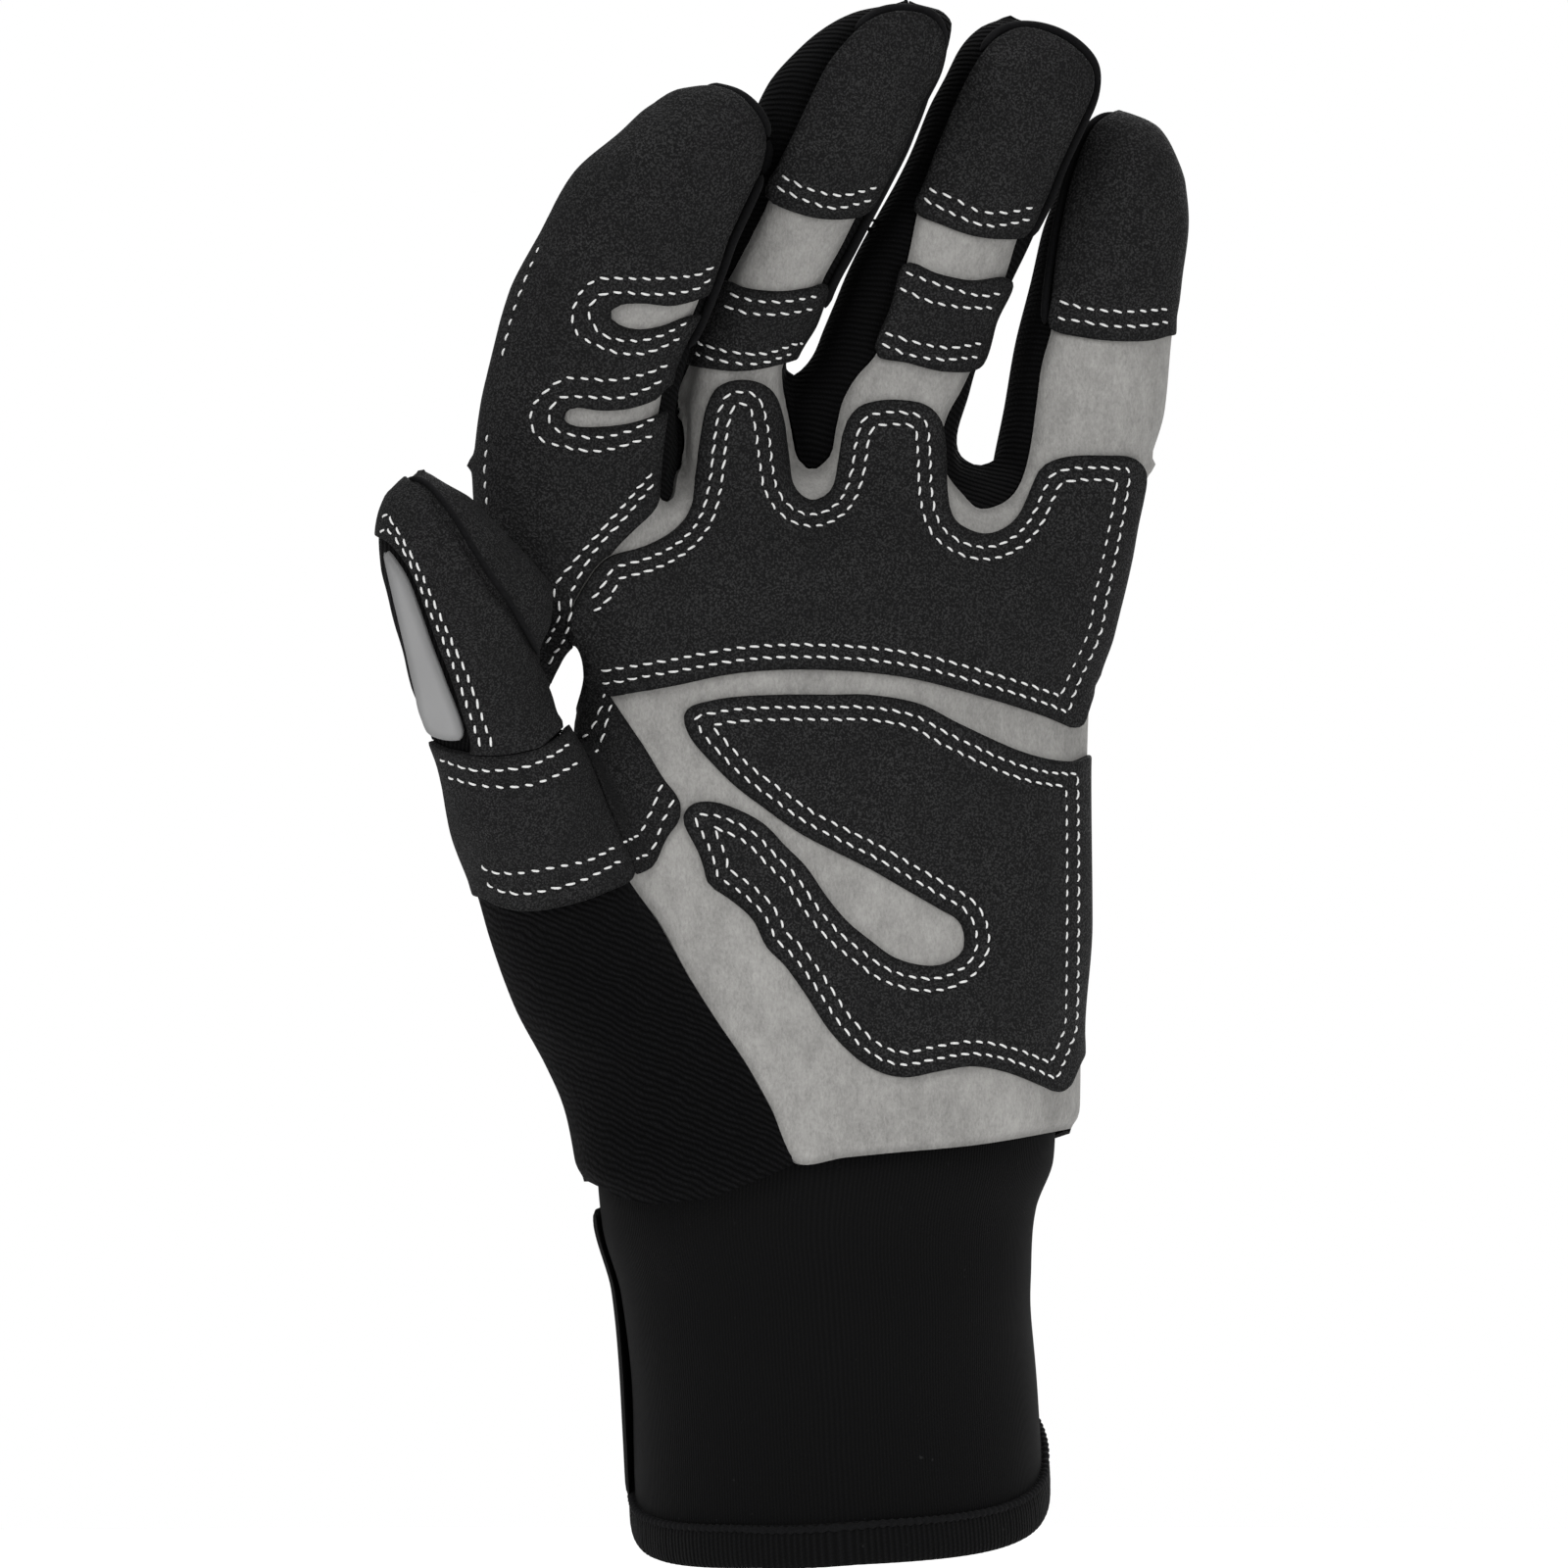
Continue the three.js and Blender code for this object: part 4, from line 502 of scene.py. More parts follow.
class Sheet:
    """Triangles with a normal and named values at each point."""

    def __init__(self, points, normals, faces, values=None):
        self.points, self.normals, self.faces = points, normals, faces
        self.values = values or {}

    def at(self, field):
        """A field's value at each point."""
        return field(*self.points.T)

    def taken(self, faces):
        """The same sheet with only some faces, and only the points that they use."""
        used, index = np.unique(faces, return_inverse=True)
        values = {name: v[used] for name, v in self.values.items()}
        return Sheet(self.points[used], self.normals[used], index.reshape(-1, 3), values)

    def split(self, value):
        """Faces cut along the zero line of a value given at each point. Gives the new sheet, and whether
        each of its faces lies on the positive side."""
        sign = value[self.faces] > 0
        count = sign.sum(axis=1)
        whole = (count == 0) | (count == 3)
        cut, cut_sign = self.faces[~whole], sign[~whole]
        odd = np.where(cut_sign.sum(axis=1) == 1, cut_sign.argmax(axis=1), (~cut_sign).argmax(axis=1))
        rows = np.arange(len(cut))
        a, b, c = (cut[rows, (odd + k) % 3] for k in range(3))
        pairs = np.concatenate([np.stack([a, b], 1), np.stack([a, c], 1)])
        pairs.sort(axis=1)
        edges, index = np.unique(pairs, axis=0, return_inverse=True)
        index = index.reshape(-1) + len(self.points)
        ab, ac = index[: len(cut)], index[len(cut):]
        i, j = edges.T
        t = np.clip(value[i] / (value[i] - value[j]), 0.02, 0.98)[:, None]
        mixed = lambda v: np.concatenate([v, v[i] + t.reshape((-1,) + (1,) * (v.ndim - 1)) * (v[j] - v[i])])
        alone = cut_sign[rows, odd]
        faces = np.concatenate([self.faces[whole], np.stack([a, ab, ac], 1), np.stack([ab, b, c], 1),
                                np.stack([ab, c, ac], 1)])
        side = np.concatenate([count[whole] == 3, alone, ~alone, ~alone])
        values = {name: mixed(v) for name, v in self.values.items()}
        return Sheet(mixed(self.points), mixed(self.normals), faces, values), side

    def kept(self, value):
        """The part of the sheet where the value is positive."""
        made, side = self.split(value)
        return made.taken(made.faces[side])

    def scored(self, name, *levels):
        """The whole sheet with lines of points added where a named value passes the given levels."""
        made = self
        for level in levels:
            made = made.split(made.values[name] - level)[0]
        return made

    def largest(self):
        """The largest connected part."""
        label = np.arange(len(self.points))
        edges = np.concatenate([self.faces[:, [0, 1]], self.faces[:, [1, 2]]])
        for _ in range(400):
            low = np.minimum(label[edges[:, 0]], label[edges[:, 1]])
            new = label.copy()
            np.minimum.at(new, edges[:, 0], low)
            np.minimum.at(new, edges[:, 1], low)
            new = new[new]
            if (new == label).all():
                break
            label = new
        of_face = label[self.faces[:, 0]]
        names, count = np.unique(of_face, return_counts=True)
        return self.taken(self.faces[of_face == names[count.argmax()]])


def laid_net(field, low, high, cell):
    """Even net over the zero surface of a field: in each cell that it crosses, the mean of its crossings with
    the cell's edges, then moved onto the surface along the slope of the field."""
    axes = [np.arange(a, b + cell, cell) for a, b in zip(low, high)]
    value = field(axes[0][:, None, None], axes[1][None, :, None], axes[2][None, None, :])
    inside = value > 0
    full = inside.astype(np.int8)
    for axis in range(3):
        a, b = [slice(None)] * 3, [slice(None)] * 3
        a[axis], b[axis] = slice(None, -1), slice(1, None)
        full = full[tuple(a)] + full[tuple(b)]
    crossed = (full > 0) & (full < 8)
    number = np.full(crossed.shape, -1)
    number[crossed] = np.arange(crossed.sum())
    cells = np.argwhere(crossed)
    total, hits = np.zeros((len(cells), 3)), np.zeros(len(cells))
    for axis in range(3):
        for m, n in ((0, 0), (1, 0), (0, 1), (1, 1)):
            a = cells.copy()
            a[:, (axis + 1) % 3] += m
            a[:, (axis + 2) % 3] += n
            b = a.copy()
            b[:, axis] += 1
            fa, fb = value[tuple(a.T)], value[tuple(b.T)]
            passes = (fa > 0) != (fb > 0)
            p = a.astype(float)
            p[:, axis] += np.where(passes, fa / np.where(passes, fa - fb, 1), 0)
            total += p * passes[:, None]
            hits += passes
    points = np.array(low) + cell * total / hits[:, None]
    quads = []
    for axis in range(3):
        a, b = [slice(None)] * 3, [slice(None)] * 3
        a[axis], b[axis] = slice(None, -1), slice(1, None)
        edge = np.argwhere(inside[tuple(a)] != inside[tuple(b)])
        edge = edge[((edge > 0) & (edge < np.array(crossed.shape))).all(axis=1)]
        corners = []
        for m, n in ((0, 0), (1, 0), (1, 1), (0, 1)):
            c = edge.copy()
            c[:, (axis + 1) % 3] -= m
            c[:, (axis + 2) % 3] -= n
            corners.append(number[tuple(c.T)])
        quad = np.stack(corners, 1)
        outward = inside[tuple(edge.T)]
        quads.append(np.where(outward[:, None], quad, quad[:, ::-1]))
    quad = np.concatenate(quads)
    d = lambda m, n: np.linalg.norm(points[quad[:, m]] - points[quad[:, n]], axis=1)
    short = d(0, 2) <= d(1, 3)
    faces = np.concatenate([quad[short][:, [0, 1, 2]], quad[short][:, [0, 2, 3]], quad[~short][:, [0, 1, 3]],
                            quad[~short][:, [1, 2, 3]]])
    for _ in range(3):
        g = gradient(field, points)
        size = np.linalg.norm(g, axis=1) + 1e-6
        points = points - (np.clip(field(*points.T) / size, -cell, cell) / size)[:, None] * g
    return points, faces


def face_normals(points, faces):
    """Cross product of two sides of each face."""
    a, b, c = (points[faces[:, k]] for k in range(3))
    return np.cross(b - a, c - a)


def point_normals(points, faces):
    """Sum of the normals of the faces round a point, made one long."""
    normals = np.zeros_like(points)
    of_face = face_normals(points, faces)
    for k in range(3):
        np.add.at(normals, faces[:, k], of_face)
    return unit(normals)


@functools.lru_cache(maxsize=None)
def body():
    """The hand's sheet above the wrist, with the creases pressed in, and its three cuts: palm side, back and
    the thumb's free tube."""
    low, high = ((float(across(c)), depth, float(upward(r))) for c, depth, r in (NET_FROM, NET_TO))
    points, faces = laid_net(hand, low, high, bpy.context.scene.glove_sizes.net_cell * 1000)
    normals = point_normals(points, faces)
    points = points + normals * (creased(points[:, 0], points[:, 2]) * facing(normals))[:, None]
    sheet = Sheet(points, point_normals(points, faces), faces)
    sheet = sheet.kept(sheet.points[:, 2] - float(upward(WRIST_ROW)))
    thumb = sheet.kept(sheet.at(thumb_side) - THUMB_SEAM_GAP)
    rest = sheet.kept(-sheet.at(thumb_side) - THUMB_SEAM_GAP)
    return {
        "front": rest.kept(rest.at(palm_side) - SEAM_GAP),
        "back": rest.kept(-rest.at(palm_side) - SEAM_GAP),
        "thumb_front": thumb.kept(thumb.at(palm_side) - THUMB_SEAM_GAP),
        "thumb_back": thumb.kept(-thumb.at(palm_side) - THUMB_SEAM_GAP),
    }


def flowing(line, closed=True, step=LINE_STEP):
    """Cubic through the corners of a drawn line, each corner's slope in the direction from the one before it
    to the one after it; given as evenly spaced x, z pairs in millimetres."""
    p = np.stack([across([c for c, _ in line]), upward([r for _, r in line])], axis=1)
    n = len(p)
    if closed:
        a, b, c, d = p[np.arange(n) - 1], p, p[(np.arange(n) + 1) % n], p[(np.arange(n) + 2) % n]
    else:
        q = np.concatenate([2 * p[:1] - p[1:2], p, 2 * p[-1:] - p[-2:-1]])
        a, b, c, d = q[:-3], q[1:-2], q[2:-1], q[3:]
    # A slope is as long as the side it serves, or 1.4 times the side next to that where this is less.
    side = np.linalg.norm(c - b, axis=1)
    before = np.linalg.norm(b - a, axis=1) + 1e-9
    after = np.linalg.norm(d - c, axis=1) + 1e-9
    start = (c - a) / (before + side)[:, None] * np.minimum(side, 1.4 * before)[:, None]
    end = (d - b) / (after + side)[:, None] * np.minimum(side, 1.4 * after)[:, None]
    t = np.linspace(0, 1, 24, endpoint=False)[None, :, None]
    h = [2 * t**3 - 3 * t**2 + 1, t**3 - 2 * t**2 + t, 3 * t**2 - 2 * t**3, t**3 - t**2]
    dense = h[0] * b[:, None] + h[1] * start[:, None] + h[2] * c[:, None] + h[3] * end[:, None]
    dense = dense.reshape(-1, 2)
    dense = np.concatenate([dense, dense[:1] if closed else p[-1:]])
    return spaced(dense, step)


def spaced(line, step):
    """The same line with points at equal distances along it."""
    far = np.concatenate([[0], np.cumsum(np.linalg.norm(np.diff(line, axis=0), axis=1))])
    at = np.linspace(0, far[-1], max(2, int(round(far[-1] / step)) + 1))
    return np.stack([np.interp(at, far, line[:, k]) for k in range(line.shape[1])], axis=1)


def within(outline, straight=False):
    """Distance from a drawn outline, seen from the palm side: positive inside it, in millimetres."""
    loop = np.stack([across([c for c, _ in outline]), upward([r for _, r in outline])], axis=1)
    if not straight:
        loop = flowing(outline, step=1.2)[:-1]

    def test(x, y, z):
        near = np.full(np.shape(x), np.inf)
        inside = np.zeros(np.shape(x), bool)
        for (ax, az), (bx, bz) in zip(np.roll(loop, 1, axis=0), loop):
            ux, uz = bx - ax, bz - az
            t = np.clip(((x - ax) * ux + (z - az) * uz) / (ux * ux + uz * uz + 1e-12), 0, 1)
            near = np.minimum(near, np.hypot(x - ax - t * ux, z - az - t * uz))
            if az != bz:
                inside ^= ((az > z) != (bz > z)) & (x < ax + (z - az) * ux / uz)
        return np.where(inside, near, -near)

    return test


def trimmed(sheet, *tests):
    """The sheet where every test is positive. The smallest of them, and of the distance to the side seam, is
    kept as the distance to its border."""
    side = np.abs(sheet.at(palm_side))
    made = Sheet(sheet.points, sheet.normals, sheet.faces, {"border": side, "side": side})
    for test in tests:
        value = made.at(test)
        made.values["border"] = np.minimum(made.values["border"], value)
        made = made.kept(value)
    return made.largest()


def thinned(side):
    """Share of a pad's thickness that is left near the side seam, into which it is sewn."""
    s = np.clip(side / SIDE_EASE, 0, 1)
    return 0.15 + 0.85 * s * s * (3 - 2 * s)


def walled(sheet, inner, outer):
    """Closed solid between two distances out from a sheet, with a rim round its border."""
    n = len(sheet.points)
    points = np.concatenate([sheet.points + sheet.normals * np.reshape(outer, (-1, 1)),
                             sheet.points + sheet.normals * np.reshape(inner, (-1, 1))])
    f = sheet.faces
    edges = np.concatenate([f[:, [0, 1]], f[:, [1, 2]], f[:, [2, 0]]])
    key, back = edges[:, 0] * n + edges[:, 1], edges[:, 1] * n + edges[:, 0]
    rim = edges[~np.isin(key, back)]
    a, b = rim.T
    faces = np.concatenate([f, f[:, ::-1] + n, np.stack([b, a, a + n], 1), np.stack([b, a + n, b + n], 1)])
    values = {name: np.concatenate([v, v]) for name, v in sheet.values.items()}
    return points, faces, values


def struck(x, z, height, pad=False):
    """The frontmost points of the body that are seen at the given places, seen from the palm side, once they
    are raised along the normal by a height, which thins out near the side seam on a pad. Gives points,
    normals, and which places hit the body."""
    points, normals, hit = reached(x, z)
    rise = height * (thinned(np.abs(palm_side(*points.T))) if pad else 1)
    points, normals, hit = reached(x - normals[:, 0] * rise, z - normals[:, 2] * rise)
    return points + normals * (rise + creased(x, z) * facing(normals))[:, None], normals, hit


def reached(x, z):
    """The first points of the body on lines that run back from the palm side: steps towards the body until
    the field is positive, then halves the step."""
    depths = np.arange(NEAREST, FARTHEST, FIRST_STEP)
    value = hand(x[:, None], depths[None, :], z[:, None]) > 0
    hit = value.any(axis=1)
    first = value.argmax(axis=1)
    near, far = depths[np.maximum(first - 1, 0)], depths[first]
    for _ in range(14):
        middle = (near + far) / 2
        inside = hand(x, middle, z) > 0
        far, near = np.where(inside, middle, far), np.where(inside, near, middle)
    points = np.stack([x, far, z], axis=1)
    return points, -unit(gradient(hand, points, 0.6)), hit


def cuff_line(row):
    """Ring sizes at a row of the drawing, through the table of rings."""
    rings = np.array(CUFF_RINGS, float)
    return [curve(rings[:, 0], rings[:, i], row) for i in range(1, 6)]


def cuff_surface(row, angle, outwards):
    """Point of the cuff: a squared ellipse about the ring's centre, leaning with the palm at the wrist and
    sloping towards the back at the hem, where x leads and the height follows the depth."""
    left, right, depth, half, slope = cuff_line(row)
    # Past the last ring, the cuff goes on in the direction that it has there.
    rings = np.array(CUFF_RINGS, float)
    over = np.maximum(row - rings[-1, 0], 0) / (rings[-1, 0] - rings[-2, 0])
    left, right, depth, half, slope = (
        v + over * (rings[-1, k] - rings[-2, k]) for k, v in enumerate((left, right, depth, half, slope), 1))
    squared = lambda v: np.sign(v) * np.abs(v) ** CUFF_ROUND
    x = ((across(right) - across(left)) / 2 + outwards) * squared(np.cos(angle))
    turn = np.clip(slope / HEM_SLOPE, 0, 1)
    y = (half + outwards) * squared(np.sin(angle)) + x * PALM_LEAN * (1 - 0.8 * turn)
    sag = HEM_SAG * turn * np.clip(1 - (y / half) ** 2, 0, 1)
    z = upward(row) + slope * y + HEM_SIDE_SLOPE * turn * x - sag
    return np.stack(np.broadcast_arrays((across(left) + across(right)) / 2 + x, depth + y, z), axis=-1)


def grid_faces(rows, columns, wrap_rows=False, wrap_columns=False):
    """Quads between neighbouring points of a grid."""
    i, j = np.meshgrid(np.arange(rows if wrap_rows else rows - 1),
                       np.arange(columns if wrap_columns else columns - 1), indexing="ij")
    i, j = i.ravel(), j.ravel()
    k, m = (i + 1) % rows, (j + 1) % columns
    return np.stack([i * columns + j, i * columns + m, k * columns + m, k * columns + j], axis=1)


def swept(line, normals, profile):
    """A closed profile carried along a line: its first number is the distance to the side, its second the
    distance out along the surface's normal."""
    ahead = unit(np.gradient(line, axis=0))
    side = unit(np.cross(ahead, normals))
    out = np.cross(side, ahead)
    points = line[:, None] + side[:, None] * profile[None, :, :1] + out[:, None] * profile[None, :, 1:]
    return points.reshape(-1, 3), grid_faces(len(line), len(profile), wrap_columns=True)


def suede_border(sheet):
    """Distance inside the suede's edge: the index finger's own edge and the palm's, mixed by a smooth step
    across the line where the index finger meets the rest."""
    share = 1 / (1 + np.exp(-np.clip(sheet.at(index_side) / EDGE_MIX, -30, 30)))
    return share * sheet.at(within(INDEX_EDGE)) + (1 - share) * sheet.at(within(PALM_EDGE))


# Sizes and colours that can be changed

class GloveSizes(bpy.types.PropertyGroup):
    """Sizes of the sewn work."""

    net_cell: bpy.props.FloatProperty(
        name="Net Cell", description="Spacing of the points on the hand's cloth", default=0.00125, min=0.0009,
        unit="LENGTH")
    pad_wall: bpy.props.FloatProperty(
        name="Pad Wall", description="Thickness of a dark pad's cloth", default=0.0009, unit="LENGTH")
    pad_swell: bpy.props.FloatProperty(
        name="Pad Swell", description="How far the foam under a pad lifts its middle", default=0.0008,
        unit="LENGTH")
    seam_dip: bpy.props.FloatProperty(
        name="Seam Dip", description="How far cloth is pulled in at a seam", default=0.0007, unit="LENGTH")
    stitch_pitch: bpy.props.FloatProperty(
        name="Stitch Pitch", description="Distance from one stitch to the next", default=0.0024,
        unit="LENGTH")
    stitch_length: bpy.props.FloatProperty(
        name="Stitch Length", description="Length of a stitch on the face side", default=0.0017,
        unit="LENGTH")
    thread: bpy.props.FloatProperty(
        name="Thread", description="Thickness of the sewing thread", default=0.00042, unit="LENGTH")
    first_row: bpy.props.FloatProperty(
        name="First Row", description="Distance of the first stitch row from a pad's edge", default=0.0022,
        unit="LENGTH")
    second_row: bpy.props.FloatProperty(
        name="Second Row", description="Distance of the second stitch row from a pad's edge", default=0.0043,
        unit="LENGTH")


class GloveColours(bpy.types.PropertyGroup):
    """Colours of the cloths and the thread."""

    suede: bpy.props.FloatVectorProperty(
        name="Suede", description="Colour of the gray suede", default=(0.322, 0.316, 0.304), subtype="COLOR")
    pad: bpy.props.FloatVectorProperty(
        name="Pads", description="Colour of the dark pads", default=(0.0085, 0.0085, 0.0088), subtype="COLOR")
    fleck: bpy.props.FloatVectorProperty(
        name="Pad Flecks", description="Colour of the raised grains of the pads",
        default=(0.034, 0.034, 0.0345), subtype="COLOR")
    cloth: bpy.props.FloatVectorProperty(
        name="Black Cloth", description="Colour of the knits", default=(0.0032, 0.0032, 0.0035),
        subtype="COLOR")
    cuff: bpy.props.FloatVectorProperty(
        name="Cuff", description="Colour of the cuff's fine rib", default=(0.0036, 0.0036, 0.0038),
        subtype="COLOR")
    insert: bpy.props.FloatVectorProperty(
        name="Insert", description="Colour of the thumb's smooth insert", default=(0.3, 0.3, 0.302),
        subtype="COLOR")
    thread: bpy.props.FloatVectorProperty(
        name="Thread", description="Colour of the sewing thread", default=(0.86, 0.86, 0.85), subtype="COLOR")


# Materials

def group(name, inputs, outputs):
    """New shader node group with the given sockets, or None when it is there already."""
    if name in bpy.data.node_groups:
        return None
    made = bpy.data.node_groups.new(name, "ShaderNodeTree")
    for socket, kind, value in inputs:
        item = made.interface.new_socket(name=socket, in_out="INPUT", socket_type=kind)
        if value is not None:
            item.default_value = value
    for socket, kind in outputs:
        made.interface.new_socket(name=socket, in_out="OUTPUT", socket_type=kind)
    return made


def add(tree, kind, **settings):
    """New node, with inputs named in quotes or by number given as a dictionary under `sockets`."""
    made = tree.nodes.new(kind)
    sockets = settings.pop("sockets", {})
    for key, value in settings.items():
        setattr(made, key, value)
    for key, value in sockets.items():
        if isinstance(value, bpy.types.NodeSocket):
            tree.links.new(value, made.inputs[key])
        else:
            made.inputs[key].default_value = value
    return made


def maths(tree, operation, a, b=0.0, c=0.0):
    """One sum as a node; numbers and sockets may be mixed."""
    made = tree.nodes.new("ShaderNodeMath")
    made.operation = operation
    for k, value in enumerate((a, b, c)):
        if isinstance(value, bpy.types.NodeSocket):
            tree.links.new(value, made.inputs[k])
        else:
            made.inputs[k].default_value = value
    return made.outputs[0]


def noise(tree, place, scale, detail, roughness=0.5):
    """Noise from 0 to 1 at a place; the scale counts its lumps per metre."""
    return add(tree, "ShaderNodeTexNoise", sockets={
        "Vector": place, "Scale": scale, "Detail": detail, "Roughness": roughness}).outputs[0]


def nap_group():
    """Brushed nap: large soft patches, fine fibres and middle-sized stretched lumps, as a shade and a height.
    """
    made = group("Brushed Nap", [("Position", "NodeSocketVector", None), ("Fibre", "NodeSocketFloat", 2300.0),
                                 ("Patches", "NodeSocketFloat", 70.0), ("Depth", "NodeSocketFloat", 0.75)],
                 [("Shade", "NodeSocketFloat"), ("Height", "NodeSocketFloat")])
    if made is None:
        return bpy.data.node_groups["Brushed Nap"]
    source = add(made, "NodeGroupInput").outputs
    stretched = add(made, "ShaderNodeVectorMath", operation="MULTIPLY",
                    sockets={0: source["Position"], 1: (1.0, 1.0, 0.55)}).outputs[0]
    fibre = noise(made, stretched, source["Fibre"], 3.0, 0.7)
    patches = noise(made, source["Position"], source["Patches"], 3.0, 0.55)
    middle = noise(made, stretched, 420.0, 2.0, 0.6)
    mixed = maths(made, "ADD", maths(made, "MULTIPLY", fibre, 0.55), maths(made, "MULTIPLY", patches, 0.4))
    mixed = maths(made, "ADD", mixed, maths(made, "MULTIPLY", middle, 0.35))
    shade = maths(made, "MULTIPLY_ADD", maths(made, "SUBTRACT", mixed, 0.65), source["Depth"], 1.0)
    shade = maths(made, "MULTIPLY_ADD", maths(made, "SUBTRACT", mixed, 0.65), source["Depth"], shade)
    sink = add(made, "NodeGroupOutput")
    made.links.new(shade, sink.inputs["Shade"])
    made.links.new(maths(made, "ADD", fibre, maths(made, "MULTIPLY", middle, 0.6)), sink.inputs["Height"])
    return made


def grain_group():
    """Sanded pebble grain: noise sharpened into separate grains, as a mask of them and a height."""
    made = group("Pebble Grain",
                 [("Position", "NodeSocketVector", None), ("Grain", "NodeSocketFloat", 1100.0)],
                 [("Mask", "NodeSocketFloat"), ("Height", "NodeSocketFloat")])
    if made is None:
        return bpy.data.node_groups["Pebble Grain"]
    source = add(made, "NodeGroupInput").outputs
    lumps = noise(made, source["Position"], source["Grain"], 2.5, 0.62)
    cells = add(made, "ShaderNodeTexVoronoi", feature="SMOOTH_F1",
                sockets={"Vector": source["Position"], "Scale": source["Grain"],
                         "Smoothness": 0.5}).outputs[0]
    broad = noise(made, source["Position"], 130.0, 2.0)
    height = maths(made, "SUBTRACT", lumps, maths(made, "MULTIPLY", cells, 0.5))
    mask = add(made, "ShaderNodeMapRange", interpolation_type="SMOOTHSTEP",
               sockets={"Value": height, "From Min": 0.16, "From Max": 0.46}).outputs[0]
    shaded = maths(made, "MULTIPLY", mask, maths(made, "MULTIPLY_ADD", broad, 1.0, 0.45))
    sink = add(made, "NodeGroupOutput")
    made.links.new(shaded, sink.inputs["Mask"])
    made.links.new(height, sink.inputs["Height"])
    return made


def rib_group():
    """Knitted ribs: a cosine along one coordinate with a little wander, broken across by finer loops."""
    made = group("Knitted Ribs", [("Along", "NodeSocketFloat", 0.0), ("Across", "NodeSocketFloat", 0.0),
                                  ("Position", "NodeSocketVector", None), ("Rib", "NodeSocketFloat", 0.95),
                                  ("Loop", "NodeSocketFloat", 0.6), ("Wander", "NodeSocketFloat", 1.0)],
                 [("Mask", "NodeSocketFloat"), ("Height", "NodeSocketFloat")])
    if made is None:
        return bpy.data.node_groups["Knitted Ribs"]
    source = add(made, "NodeGroupInput").outputs
    wander = noise(made, source["Position"], 160.0, 2.0)
    moved = maths(made, "MULTIPLY_ADD", maths(made, "SUBTRACT", wander, 0.5), source["Wander"],
                  source["Along"])
    turn = maths(made, "MULTIPLY", maths(made, "DIVIDE", moved, source["Rib"]), 2 * math.pi)
    rib = maths(made, "MULTIPLY_ADD", maths(made, "COSINE", turn), 0.5, 0.5)
    loops = maths(made, "MULTIPLY", maths(made, "DIVIDE", source["Across"], source["Loop"]), 2 * math.pi)
    loops = maths(made, "ADD", loops, maths(made, "MULTIPLY", turn, 0.5))
    loop = maths(made, "MULTIPLY_ADD", maths(made, "COSINE", loops), 0.5, 0.5)
    fuzz = noise(made, source["Position"], 2200.0, 2.0)
    height = maths(made, "ADD", rib, maths(made, "MULTIPLY", maths(made, "MULTIPLY", loop, rib), 0.35))
    height = maths(made, "ADD", height, maths(made, "MULTIPLY", fuzz, 0.5))
    sink = add(made, "NodeGroupOutput")
    made.links.new(maths(made, "MULTIPLY", maths(made, "MULTIPLY_ADD", loop, 0.35, 0.65), rib),
                   sink.inputs["Mask"])
    made.links.new(height, sink.inputs["Height"])
    return made


def cloth(name, roughness, specular, sheen):
    """New material for cloth, with its tree, its Principled shader and its Object coordinates."""
    made = bpy.data.materials.new(name)
    made.use_nodes = True
    tree = made.node_tree
    shader = tree.nodes["Principled BSDF"]
    shader.inputs["Roughness"].default_value = roughness
    shader.inputs["Specular IOR Level"].default_value = specular
    shader.inputs["Sheen Weight"].default_value = sheen
    shader.inputs["Sheen Roughness"].default_value = 0.6
    shader.inputs["Sheen Tint"].default_value = (1, 1, 1, 1)
    place = add(tree, "ShaderNodeTexCoord").outputs["Object"]
    return made, tree, shader, place


def bumped(tree, shader, height, distance):
    """Bump from a height that is 0 to 1, its full rise given in metres."""
    bump = add(tree, "ShaderNodeBump", sockets={"Strength": 1.0, "Distance": distance, "Height": height})
    tree.links.new(bump.outputs[0], shader.inputs["Normal"])


def seam_shade_painted(tree, colour, depth):
    """Colour darkened towards a piece's border: painted shade in the seam, where the cloth dips in."""
    border = add(tree, "ShaderNodeAttribute", attribute_name="border").outputs["Fac"]
    shade = add(tree, "ShaderNodeMapRange", interpolation_type="SMOOTHSTEP",
                sockets={"Value": border, "From Min": 0.0, "From Max": 1.6, "To Min": 1 - depth,
                         "To Max": 1.0})
    return add(tree, "ShaderNodeVectorMath", operation="SCALE",
               sockets={0: colour, "Scale": shade.outputs[0]}).outputs[0]


def scaled(tree, colour, factor):
    """Colour times a factor."""
    return add(tree, "ShaderNodeVectorMath", operation="SCALE",
               sockets={0: colour, "Scale": factor}).outputs[0]


